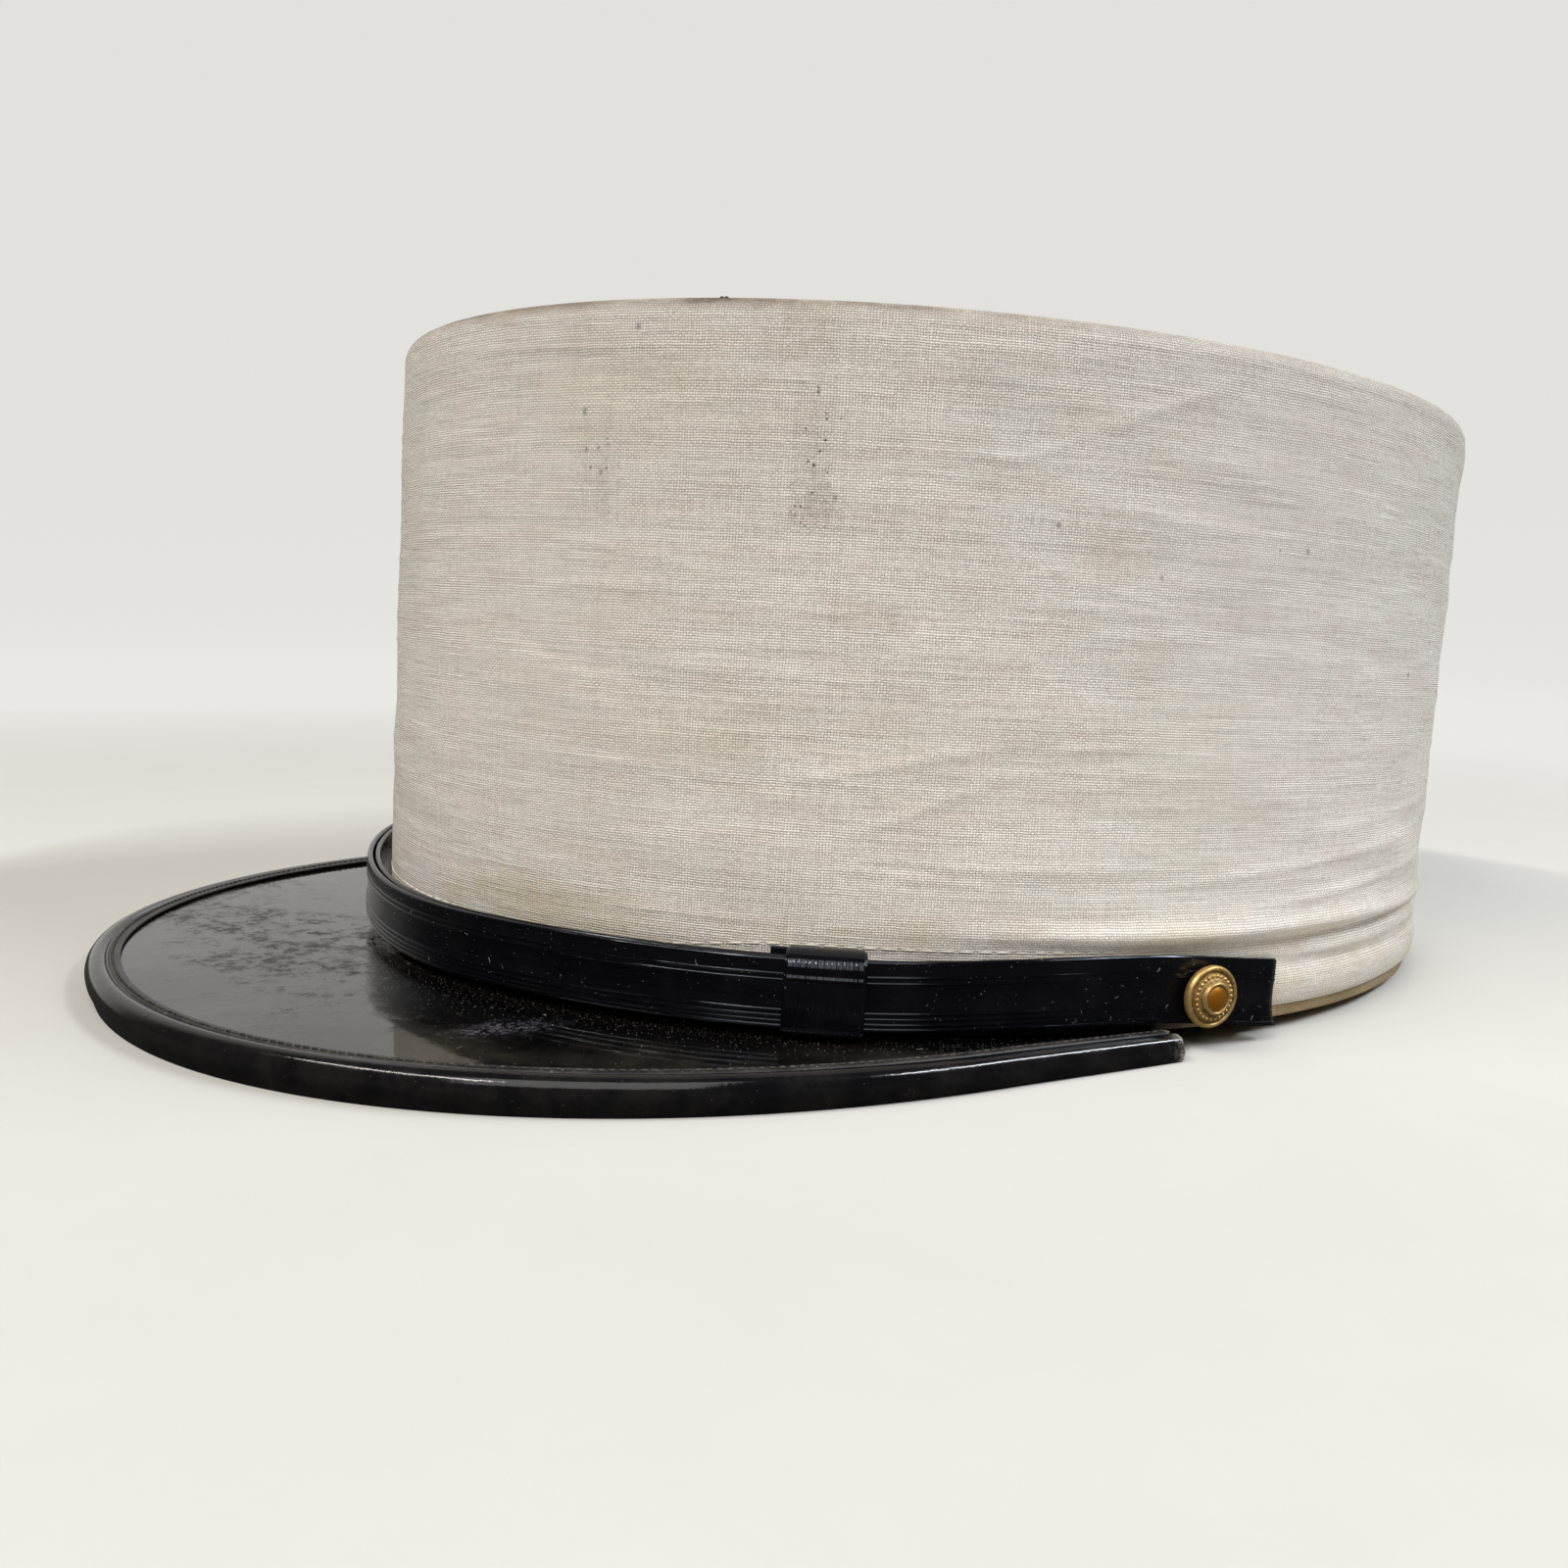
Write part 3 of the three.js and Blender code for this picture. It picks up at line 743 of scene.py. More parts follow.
# %% Wash, handling and soil
def soiled_cotton(tree, spot, streak, colour):
    """Painted light by height, painted highlight and shade on the slubs, handling, the rim's soil with
    painted shade, and the soil above the strap, laid over the threads' colour.
    """
    place = put(tree, "ShaderNodeSeparateXYZ", spot).node.outputs
    from_middle = calc(tree, "SUBTRACT", place["Y"], MID_WALL)
    height = scaled(tree, painted(tree, "wall"), from_middle, MID_WALL)
    # Painted light and shade: darker towards the rim by height, and lighter slubs beside darker thin
    # threads.
    height_light = ramp(tree, height, PAINTED_HEIGHT_LIGHT["foot"], PAINTED_HEIGHT_LIGHT["rim"], PAINTED_HEIGHT_LIGHT["foot_tone"], PAINTED_HEIGHT_LIGHT["rim_tone"])
    bright = scaled(tree, streak, SLUB_LIGHT_AND_SHADE, height_light)
    grey = put(tree, "ShaderNodeCombineColor", bright, bright, bright)
    colour = blend(tree, 1.0, colour, grey, "MULTIPLY")
    for cloud in CLOUDS:
        clouded = noise(tree, stretch(tree, spot, *cloud["stretch"], 1.0), *cloud["grain"])
        share = ramp(tree, clouded, *cloud["limits"], 0.0, cloud["strength"])
        colour = blend(tree, share, colour, SOIL[cloud["soil"]], cloud["mode"])
    patches = noise(tree, stretch(tree, spot, 1.0, 2.0, 1.0), 70.0, 5.0, 0.65)
    from_front = calc(tree, "ABSOLUTE", calc(tree, "SUBTRACT", place["X"], cloth_place(0, 0)[0]))
    # Soil and painted shade along the rim, strongest towards the front and fading at the very top.
    rim = times(tree, ramp(tree, height, RIM_SOIL_AND_SHADE["from"], RIM_SOIL_AND_SHADE["full"]),
                ramp(tree, patches, 0.3, 0.6, 0.35, 1.0))
    rim = times(tree, rim, ramp(tree, height, RIM_TOP_FADE["from"], RIM_TOP_FADE["full"], 1.0, RIM_TOP_FADE["left"]))
    rim = times(tree, rim, ramp(tree, from_front, FRONT["near"], FRONT["far"], 1.0, FRONT["left"]))
    colour = blend(tree, times(tree, rim, RIM_SOIL_AND_SHADE["strength"]), colour, SOIL["brown"])
    foot = times(tree, ramp(tree, height, FOOT_SOIL["from"], FOOT_SOIL["full"]),
                 ramp(tree, patches, 0.36, 0.68))
    return blend(tree, times(tree, foot, FOOT_SOIL["strength"]), colour, SOIL["yellow"])


# %% Stains and specks
STAINS = table(
    "angle height wide tall strength soil",
    (49.2, 78, 4.5, 15, 0.18, "grey"),
    (49.6, 70.5, 5, 4.5, 0.3, "grey"),
    (48.6, 94, 8, 6, 0.25, "tan"),
    (30.4, 74, 5, 8, 0.2, "grey"),
    (74.5, 67, 12, 7, 0.2, "tan"),
    (85.5, 62, 12, 8, 0.12, "tan"),
    (54.5, 55.5, 9, 4, 0.22, "tan"),
    (90, 31, 8, 5, 0.15, "tan"),
    (100, 54, 5, 4, 0.14, "tan"),
    (22, 13, 16, 5, 0.36, "yellow"),
    (39.4, 97.4, 7, 2.4, 0.8, "dark"),
    (44.5, 97.0, 5, 2.5, 0.5, "brown"),
    (18, 96, 9, 3, 0.35, "tan"),
)
SPECKS = table(
    "angle height size",
    (28.5, 81.5, 0.45),
    (28.8, 76.4, 0.3),
    (30.5, 73.3, 0.26),
    (33.5, 92.7, 0.45),
    (69, 69.7, 0.32),
    (78.2, 63.9, 0.28),
    (89.8, 69.2, 0.26),
    (93.1, 69.6, 0.4),
    (112.9, 52.5, 0.45),
    (51.2, 71.2, 0.35),
)

print(len(STAINS), "stains and", len(SPECKS), "specks")


# %% Lay the stains on the cotton
def stained_cotton(tree, spot, colour):
    """The stains and specks of the tables, laid over the soiled colour."""
    grit = grains(tree, spot, 1500.0, 0.3, 0.5)
    stained = patchy(tree, spot, 420.0)
    for mark in STAINS:
        size = (mark["wide"] * MM, mark["tall"] * MM, 1.0)
        mask = smudge(tree, cloth_place(mark["angle"], mark["height"]), size, 0.9, stained)
        colour = blend(tree, times(tree, mask, mark["strength"]), colour, SOIL[mark["soil"]])
        if mark["soil"] == "grey":
            colour = blend(tree, times(tree, mask, grit), colour, SOIL["dark"])
    flecked = patchy(tree, spot, 2500.0)
    for mark in SPECKS:
        size = (mark["size"] * MM * 1.5, mark["size"] * MM * 2, 1.0)
        mask = smudge(tree, cloth_place(mark["angle"], mark["height"]), size, 0.5, flecked)
        colour = blend(tree, times(tree, mask, 0.8), colour, SOIL["dark"])
    return colour


# %% White cotton
COTTON_RELIEF = {"depth": 0.000125, "slub": 1.1, "pucker": 2.2}


def white_cotton():
    material, tree, shader = new_material(
        "white_cotton", Roughness=0.9, Sheen_Weight=0.2, Sheen_Roughness=0.5
    )
    spot = own_map(tree)
    threads = use_group(tree, WEAVE, **{"UV": spot, "Pitch": FINE_PITCH, "Slub length": 0.013})
    # Painted shade and highlight of the threads: dark gaps and a lighter weft on top.
    colour = blend(tree, threads["Shade"], COTTON_GAP_SHADE, COTTON)
    colour = soiled_cotton(tree, spot, threads["Streak"], colour)
    feed(tree, shader["Base Color"], stained_cotton(tree, spot, colour))
    pucker = noise(tree, stretch(tree, spot, 90.0, 420.0, 1.0), 1.0, 2.0, 0.6)
    raised = scaled(tree, threads["Streak"], COTTON_RELIEF["slub"], threads["Height"])
    raised = scaled(tree, pucker, COTTON_RELIEF["pucker"], raised)
    feed(tree, shader["Normal"], bump(tree, raised, COTTON_RELIEF["depth"]))
    return material


WHITE_COTTON = white_cotton()
dress(crown_cloth, WHITE_COTTON, "white_cotton", "crown_side")

# %% [markdown]
# ## The top panel
# The flat top is a cotton disc sewn inside the rim, and it sinks a little in its middle. The seam gathers
# the cloth into small puckers that die out within a centimetre. Rings of points from the middle to
# the rim make the disc, so the puckers can be a wave round each ring that fades with the distance.

# %% Loft the top panel
TOP_DISH = 4.0
TOP_COLUMNS = 300
TOP_EDGE = RIM_RADIUS + 0.5
PUCKERS = 58
PUCKER_DEPTH = 0.16
PUCKER_FADE = 5.0
TOP_SOFT = {"reach": 0.12, "x": 17, "y": 23}
TOP_TUCK = {"drop": 0.5, "fade": 0.6}
TOP_FACE = 0.15
TOP_BACK = 1.4

top_around = np.linspace(-180, 180, TOP_COLUMNS, endpoint=False)
top_shares = np.concatenate([np.linspace(0.02, 0.88, 26), np.linspace(0.9, 1, 12)])


def top_ring(share, drop):
    """One ring of the panel, as a share of its size, on its upper face or a cloth's drop below."""
    point = oval(top_around, TOP_EDGE, CROWN_HEIGHT) * share
    from_edge = (1 - share) * HEM_WIDTH / 2
    pucker = np.cos(np.radians(top_around) * PUCKERS + 2 * ripple(top_around, 6))
    pucker = pucker * math.exp(-from_edge / PUCKER_FADE)
    soft = TOP_SOFT["reach"] * np.cos(point[:, 0] / TOP_SOFT["x"] + 1) * np.cos(point[:, 1] / TOP_SOFT["y"])
    rise = CROWN_HEIGHT * (1 - TOP_SLOPE * point[:, 1] / CROWN_HEIGHT)
    tuck = TOP_TUCK["drop"] * math.exp(-from_edge / TOP_TUCK["fade"])
    point[:, 2] = rise - TOP_DISH * (1 - share * share) - tuck + PUCKER_DEPTH * pucker + soft - drop
    return point


upper = [top_ring(share, TOP_FACE) for share in top_shares]
lower = [top_ring(share, TOP_BACK) for share in top_shares[::-3]]
crown_top = skin("crown_top_panel", np.array(upper + lower), sharp=60)
loop_points = np.zeros(len(crown_top.data.loops), np.int32)
crown_top.data.loops.foreach_get("vertex_index", loop_points)
top_points = np.array([v.co for v in crown_top.data.vertices])
top_map = crown_top.data.uv_layers.new(name="UVMap")
top_map.data.foreach_set("uv", top_points[loop_points, :2].astype(np.float32).ravel())
dress(crown_top, WHITE_COTTON, "white_cotton", "crown_top")

# %% [markdown]
# ## The band
# Inside the hem runs a tan cotton band. Only its edge shows, as a thin line below the white cloth behind
# the strap, but from below the whole band is seen, so it gets its own weave. Its foot comes down onto the
# visor in front and is level at the back, where the hat rests on it.

# %% Loft the band
BAND = 1.4
BAND_HEIGHT = 30.0
LIP_TOP = 1.5
LIP_ON_VISOR = 80
LIP_LEVEL = 92
LIP_WAVER = {"reach": 0.06, "waves": 31}
BAND_COLUMNS = 320
BAND_EDGE = 0.4
BAND_LEVELS = (18.0, 8.0)

band_around = np.linspace(-180, 180, BAND_COLUMNS, endpoint=False)
level = grow(np.abs(band_around), LIP_ON_VISOR, LIP_LEVEL)
on_visor = visor_top(oval(band_around, LIP_INSET, 0.0)[:, 1]) + GAP
band_foot = on_visor + (LIP_FOOT - on_visor) * level
band_back = CLOTH + GAP
band_inner = band_back + BAND
waver = LIP_WAVER["reach"] * np.cos(np.radians(band_around) * LIP_WAVER["waves"]) * level


def band_line(inset, height):
    """One line of the band round the hat."""
    return oval(band_around, inset, height + 0 * band_around)


band_lines = [
    band_line(LIP_INSET + 0.25, band_foot),
    band_line(LIP_INSET + waver, band_foot + 0.3),
    band_line(LIP_INSET - 0.05 + waver, (band_foot + LIP_TOP) / 2),
    band_line(LIP_INSET + 0.1, LIP_TOP),
    band_line(band_back, LIP_TOP + 0.1),
    band_line(band_back, BAND_HEIGHT - BAND_EDGE),
    band_line(band_back + BAND_EDGE, BAND_HEIGHT),
    band_line(band_inner - BAND_EDGE, BAND_HEIGHT),
    band_line(band_inner, BAND_HEIGHT - BAND_EDGE),
    *(band_line(band_inner, height) for height in BAND_LEVELS),
    band_line(band_inner, band_foot + BAND_EDGE),
    band_line(band_inner - BAND_EDGE, band_foot),
]
band_sections = np.stack(band_lines, axis=1)
band_along = lengths(band_line(0, 0.0), closed=True)
band_across = lengths(band_sections[0], closed=True)
band = skin("tan_band", band_sections, loop=True, along=band_along, across=band_across)
# Painted shade: 1 along the front, where the band's foot lies over the visor in the strap's shade, for the
# material to darken.
paint(band, "foot_shade", np.repeat(1 - level, band_sections.shape[1]))

# %% [markdown]
# ## Tan cotton
# The band is a plain weave too, with coarser threads, so it takes the weave group at another pitch. It
# is worn in patches, and its foot over the visor lies in the shade under the strap and is painted
# nearly black as shade. The loft knows where that is, so it stored the place at the points, and the
# material reads it back as a mask.

# %% Tan cotton
BAND_TONES = {
    # The gap tone is painted shade between the threads.
    "gap": tone(116, 97, 66),
    "thread": tone(178, 153, 112),
    "worn": tone(126, 100, 70),
    # Painted shade: this tone darkens the band's foot over the visor, which lies in the strap's shade.
    "grime": tone(26, 22, 18),
}
COARSE_PITCH = 0.00055


def tan_cotton():
    material, tree, shader = new_material("tan_cotton", Roughness=0.88, Sheen_Weight=0.1)
    spot = own_map(tree)
    threads = use_group(tree, WEAVE, **{"UV": spot, "Pitch": COARSE_PITCH, "Slub length": 0.01})
    colour = blend(tree, threads["Shade"], BAND_TONES["gap"], BAND_TONES["thread"])
    worn = ramp(tree, noise(tree, spot, 60.0, 4.0, 0.6), 0.4, 0.7, 0.0, 0.5)
    colour = blend(tree, worn, colour, BAND_TONES["worn"])
    # Painted shade: near its foot over the visor the band is painted nearly black, as the shade under the
    # strap.
    foot_shade = painted(tree, "foot_shade")
    low = ramp(tree, put(tree, "ShaderNodeSeparateXYZ", spot).node.outputs["Y"], 0.0042, 0.003)
    colour = blend(tree, times(tree, foot_shade, low), colour, BAND_TONES["grime"])
    feed(tree, shader["Base Color"], colour)
    feed(tree, shader["Normal"], bump(tree, threads["Height"], 0.00014))
    return material


dress(band, tan_cotton(), "tan_cotton", "inner_band")

# %% [markdown]
# ## The visor
# The peak is a flat piece of patent leather, slightly dished by wear. Its shape is a rounded outline in
# front and an inner edge that follows the crown, with straight rules between the two. A mirror shows
# every dent, so the top gets many rows and a very slight unevenness, and the reflections do the rest.

# %% Outline of the visor
VISOR_HALF_WIDTH = 88.0
VISOR_WIDEST = 42.0
VISOR_ROUNDNESS = 2.14
VISOR_CORNER = {"x": 88.5, "y": -14.0, "angle": 82.0}
VISOR_CURVED_SHARE = 0.82
VISOR_THICK = 1.5
VISOR_INSET = 3.0
VISOR_EDGE = 1.2
VISOR_STATIONS = 240
VISOR_ROWS = 44
VISOR_UNDER_ROWS = 12
VISOR_WAVE = 0.05
VISOR_WAVES = [(9, 21, 0), (14, -8, 1)]
VISOR_DUST = {"from": 6.0, "fade": 4.5, "least": 0.015}


def visor_outline(station):
    """Sewing line of the bead, from -1 at the right corner to 1 at the left corner."""
    reach = np.abs(station)
    turn = np.radians(90 * np.clip(reach / VISOR_CURVED_SHARE, 0, 1))
    back = np.clip((reach - VISOR_CURVED_SHARE) / (1 - VISOR_CURVED_SHARE), 0, 1)
    power = 2 / VISOR_ROUNDNESS
    x = VISOR_HALF_WIDTH * np.sin(turn) ** power
    x = x + (VISOR_CORNER["x"] - VISOR_HALF_WIDTH) * back
    y = -VISOR_WIDEST - (VISOR_TIP - VISOR_WIDEST) * np.clip(np.cos(turn), 0, 1) ** power
    y = y + (VISOR_CORNER["y"] + VISOR_WIDEST) * back
    return np.stack([np.sign(station) * x, y], axis=-1)


def visor_outward(station):
    """Level direction away from the visor at its edge."""
    along = visor_outline(np.minimum(station + 0.01, 1)) - visor_outline(np.maximum(station - 0.01, -1))
    along = along / np.linalg.norm(along, axis=-1, keepdims=True)
    return np.stack([along[:, 1], -along[:, 0]], axis=-1)


print(f"the visor reaches {VISOR_TIP - HEM_LENGTH / 2:.1f} mm before the hem")

# %% Loft the visor
stations = np.linspace(-1, 1, VISOR_STATIONS)
inner_edge = oval(stations * VISOR_CORNER["angle"], VISOR_INSET, 0.0)[:, :2]
outer_edge = visor_outline(stations) + VISOR_EDGE * visor_outward(stations)


def visor_row(share, drop):
    """One row of the visor between its inner edge, 0, and its outer edge, 1."""
    plan = inner_edge + (outer_edge - inner_edge) * share
    wave = sum(np.cos(plan[:, 0] / x + plan[:, 1] / y + phase) for x, y, phase in VISOR_WAVES)
    height = visor_top(plan[:, 1]) + VISOR_WAVE * wave * share * (1 - share) * 2 - drop
    return np.concatenate([plan, height[:, None]], axis=-1)


top_rows = [visor_row(share, 0.0) for share in np.linspace(0, 1, VISOR_ROWS)]
under_rows = [visor_row(share, VISOR_THICK) for share in np.linspace(1, 0, VISOR_UNDER_ROWS)]
visor_sections = np.stack(top_rows + under_rows, axis=1)
visor_along = lengths(visor_outline(stations))
visor_across = np.concatenate(
    [np.linspace(0, 70, VISOR_ROWS), np.linspace(71, 141, VISOR_UNDER_ROWS + 1)]
)
visor = skin("visor_plate", visor_sections, along=visor_along, across=visor_across)
from_crown = np.linalg.norm(outer_edge - inner_edge, axis=-1)[:, None] * np.linspace(0, 1, VISOR_ROWS)
past_strap = np.clip(from_crown - VISOR_DUST["from"], 0, None)
dusty_rows = np.exp(-past_strap / VISOR_DUST["fade"]) + VISOR_DUST["least"]
clean_rows = np.zeros((VISOR_STATIONS, VISOR_UNDER_ROWS))
paint(visor, "dusty", np.concatenate([dusty_rows, clean_rows], axis=1))

# %% [markdown]
# ## Patent leather
# Patent leather is black with a clear lacquer, so nearly all that shows is reflection, and its age shows
# as what dulls the mirror: a film of dust, rubbed smears, a scuff, grit along the strap. So the base
# stays almost black, and the masks mostly drive the roughness and add a little pale dust.

# %% Black visor
DUST = tone(148, 138, 118)
SCUFF = {"x": 52.0, "y": -79.0, "long": 11.0, "wide": 5.0}
RUBBED = {"x": -12.0, "y": -98.0, "long": 72.0, "wide": 30.0}
SCUFFED = tone(132, 130, 142)
LACQUER = (0.0022, 0.0022, 0.0026, 1.0)
BY_STRAP = {"from": 0.034, "full": 0.008}
OUTER_FILM = {"from": 0.018, "full": 0.055, "least": 0.003, "most": 0.1}


def black_visor():
    material, tree, shader = new_material("black_visor", IOR=1.5)
    spot = object_place(tree)
    rows_from_strap = put(tree, "ShaderNodeSeparateXYZ", own_map(tree)).node.outputs["Y"]
    by_strap = ramp(tree, rows_from_strap, BY_STRAP["from"], BY_STRAP["full"])
    film = ramp(tree, noise(tree, spot, 45.0, 5.0, 0.65), 0.38, 0.72)
    fine = grains(tree, spot, 2400.0, 0.3, 0.36)
    coarse = grains(tree, spot, 800.0, 0.12, 0.22)
    thick = ramp(tree, noise(tree, spot, 110.0, 4.0, 0.7), 0.4, 0.66)
    crowd = scaled(tree, times(tree, by_strap, thick), 0.8, 0.03)
    grit = times(tree, calc(tree, "MAXIMUM", fine, coarse), crowd)
    rub_size = (RUBBED["long"] * MM, RUBBED["wide"] * MM, 1.0)
    rub_place = (RUBBED["x"] * MM, RUBBED["y"] * MM, 0.0)
    broad = patchy(tree, spot, 90.0)
    rub = smudge(tree, rub_place, rub_size, 0.7, broad)
    mottle = ramp(tree, noise(tree, spot, 150.0, 7.0, 0.78), 0.4, 0.57)
    rub = times(tree, rub, mottle)
    scuff_size = (SCUFF["wide"] * MM, SCUFF["long"] * MM, 1.0)
    scuff_place = (SCUFF["x"] * MM, SCUFF["y"] * MM, 0.0)
    small = patchy(tree, spot, 500.0)
    scuff = smudge(tree, scuff_place, scuff_size, 0.8, small)
    scuff = times(tree, scuff, ramp(tree, noise(tree, spot, 1500.0, 3.0, 0.7), 0.42, 0.62))
    outer = ramp(tree, rows_from_strap, *OUTER_FILM.values())
    haze = times(tree, film, scaled(tree, by_strap, 0.007, outer))
    pale = calc(tree, "ADD", haze, times(tree, grit, 0.42))
    colour = blend(tree, pale, LACQUER, DUST)
    feed(tree, shader["Base Color"], blend(tree, times(tree, scuff, 0.55), colour, SCUFFED))
    rough = scaled(tree, film, 0.05, 0.035)
    rough = scaled(tree, rub, 0.52, rough)
    rough = scaled(tree, scuff, 0.3, rough)
    feed(tree, shader["Roughness"], scaled(tree, grit, 0.5, rough))
    crinkle = noise(tree, stretch(tree, spot, 0.5, 1.0, 1.0), 1500.0, 3.0, 0.6)
    dents = bump(tree, noise(tree, spot, 160.0, 3.0), 0.00007, 0.5)
    feed(tree, shader["Normal"], bump(tree, times(tree, crinkle, rub), 0.00006, under=dents))
    return material


dress(visor, black_visor(), "black_visor", "visor")

# %% [markdown]
# ## The bead
# A vinyl piping is sewn round the visor's edge: a round bead outside, a groove with the stitches, and a
# narrow flat lip on the leather. Its section is a smooth line through a dozen points, swept along
# the sewing line. Underneath it is pressed flat where the hat rests, so those points follow the floor.

# %% Section of the bead
BEAD_STATIONS = 420
BEAD_FACE = [
    (-1.95, 0.3), (-1.98, 0.52), (-1.8, 0.72), (-1.2, 0.78), (-0.55, 0.76), (-0.28, 0.62), (-0.1, 0.4),
    (0.12, 0.42), (0.35, 0.66), (0.8, 0.88), (1.35, 0.92), (1.95, 0.74), (2.5, 0.36), (2.95, -0.3),
    (3.16, -1.0), (3.2, -1.6), (3.08, -2.3), (2.75, -2.95),
]
BEAD_FLOOR = [(2.2, 0.0), (0.5, 0.0), (-1.2, 0.0), (-1.8, 0.4)]
BEAD_CHANNEL = [(-1.9, -1.8), (1.5, -1.8), (1.5, 0.3)]
CUT_RAGGED = 0.35
CUT_FADE = 0.8
LIP_EDGE = (-0.15, 0.35)


def smooth_line(points, parts):
    """A Catmull-Rom line through points, with a number of parts to each step."""
    given = np.asarray(points, float)
    before = np.concatenate([given[:1], given[:-2]])
    start, end = given[:-1], given[1:]
    after = np.concatenate([given[2:], given[-1:]])
    made = []
    for t in np.linspace(0, 1, parts, endpoint=False):
        curve = 2 * start + (end - before) * t
        curve = curve + (2 * before - 5 * start + 4 * end - after) * t ** 2
        made.append((curve + (3 * start - before - 3 * end + after) * t ** 3) / 2)
    line = np.stack(made, axis=1).reshape(-1, given.shape[1])
    return np.concatenate([line, given[-1:]])


face = smooth_line(BEAD_FACE, 3)
print("upper face of the bead:", len(face), "points")

# %% Sweep the bead
bead_stations = np.linspace(-1, 1, BEAD_STATIONS)
sewing_line = visor_outline(bead_stations)
bead_outward = visor_outward(bead_stations)


def bead_line(out, up, on_floor=False):
    """One line of the bead along the visor's edge."""
    plan = sewing_line + bead_outward * out
    floor = rest_at(plan[:, 1])
    height = floor + up if on_floor else np.maximum(visor_top(sewing_line[:, 1]) + up, floor)
    return np.concatenate([plan, height[:, None]], axis=-1)


bead_lines = [bead_line(out, up) for out, up in face]
bead_lines += [bead_line(out, up, on_floor=True) for out, up in BEAD_FLOOR]
bead_lines += [bead_line(out, up) for out, up in BEAD_CHANNEL]
bead_sections = np.stack(bead_lines, axis=1)
bead_along = lengths(sewing_line)
tears = np.random.default_rng(3).uniform(-1, 1, (2, bead_sections.shape[1]))
bead_sections[0, :, 1] += CUT_RAGGED * tears[0]
bead_sections[-1, :, 1] += CUT_RAGGED * tears[1]
bead_across = lengths(bead_sections[BEAD_STATIONS // 2], closed=True)
bead = skin("visor_bead", bead_sections, along=bead_along, across=bead_across, sharp=50)
from_end = np.minimum(bead_along, bead_along[-1] - bead_along)
paint(bead, "cut", np.repeat(np.exp(-from_end / CUT_FADE), bead_sections.shape[1]))
lip_share = np.zeros(bead_sections.shape[1])
lip_share[: len(face)] = grow(-face[:, 0], *LIP_EDGE)
paint(bead, "lip", np.tile(lip_share, BEAD_STATIONS))

# %% [markdown]
# ## Vinyl of the bead
# Vinyl is a softer black than lacquer: it mirrors less, and handling breaks its gloss. Dust stays on the
# flat lip, where wiping doesn't reach, and the cut ends have torn pale. Both could be painted by hand,
# but the section already says where they are, so each point stores its share for the material to read.

# %% Black vinyl of the bead
BEAD_BLACK = (0.003, 0.003, 0.004, 1.0)
BEAD_DUST = tone(168, 160, 150)


def black_bead():
    material, tree, shader = new_material("black_bead", IOR=1.37)
    spot = object_place(tree)
    lip = painted(tree, "lip")
    cut = painted(tree, "cut")
    grit = grains(tree, spot, 1300.0, 0.25, 0.3)
    film = ramp(tree, noise(tree, spot, 120.0, 5.0, 0.7), 0.35, 0.7)
    dusty = times(tree, calc(tree, "ADD", lip, 0.22), scaled(tree, film, 0.1, 0.015))
    specks = times(tree, grit, scaled(tree, lip, 0.3, 0.04))
    torn = times(tree, cut, ramp(tree, noise(tree, spot, 900.0, 3.0, 0.7), 0.35, 0.6))
    pale = calc(tree, "MAXIMUM", calc(tree, "ADD", dusty, specks), times(tree, torn, 0.75))
    feed(tree, shader["Base Color"], blend(tree, pale, BEAD_BLACK, BEAD_DUST))
    rough = scaled(tree, film, 0.06, 0.1)
    rough = scaled(tree, lip, 0.35, rough)
    feed(tree, shader["Roughness"], scaled(tree, torn, 0.4, rough))
    feed(tree, shader["Normal"], bump(tree, noise(tree, spot, 700.0, 3.0), 0.00006, 0.5))
    return material


BLACK_BEAD = black_bead()
dress(bead, BLACK_BEAD, "black_bead", "visor_binding")

# %% [markdown]
# ## Stitches
# A row of stitches is a small shape repeated along a line, which is what Geometry Nodes are for. The
# path comes in as a mesh of edges whose points carry a lift direction. The tree resamples it at the
# stitch pitch, puts a flattened grain on every point, turns it along the path, and realizes the lot,
# so that what leaves the tree is plain mesh.


# %% Start and finish a Geometry Nodes tree
def new_tree(name, **inputs):
    """A Geometry Nodes tree with a geometry in and out, and named inputs for its sizes."""
    tree = bpy.data.node_groups.new(name, "GeometryNodeTree")
    tree.is_modifier = True
    kinds = {float: "NodeSocketFloat", int: "NodeSocketInt"}
    tree.interface.new_socket("Geometry", in_out="INPUT", socket_type="NodeSocketGeometry")
    for label, start in inputs.items():
        kind = kinds.get(type(start), "NodeSocketMaterial")
        socket = tree.interface.new_socket(label.replace("_", " "), in_out="INPUT", socket_type=kind)
        if start is not None:
            socket.default_value = start
    tree.interface.new_socket("Geometry", in_out="OUTPUT", socket_type="NodeSocketGeometry")
    return tree, tree.nodes.new("NodeGroupInput").outputs, tree.nodes.new("NodeGroupOutput").inputs


def finish_tree(tree, instances, material, result):
    """Realizes the instances, shades them smooth and sets their material."""
    real = put(tree, "GeometryNodeRealizeInstances", instances)
    smooth = put(tree, "GeometryNodeSetShadeSmooth", real)
    feed(tree, result["Geometry"], put(tree, "GeometryNodeSetMaterial", smooth, None, material))


# %% A Geometry Nodes tree for stitches
def along_path(tree):
    """A rotation that lays X along a curve and turns Z to the path's lift."""
    tangent = put(tree, "GeometryNodeInputTangent")
    lift = put(tree, "GeometryNodeInputNamedAttribute", "lift", data_type="FLOAT_VECTOR")
    laid = put(tree, "FunctionNodeAlignRotationToVector", None, 1.0, tangent, axis="X")
    return put(tree, "FunctionNodeAlignRotationToVector", laid, 1.0, lift, axis="Z", pivot_axis="X")


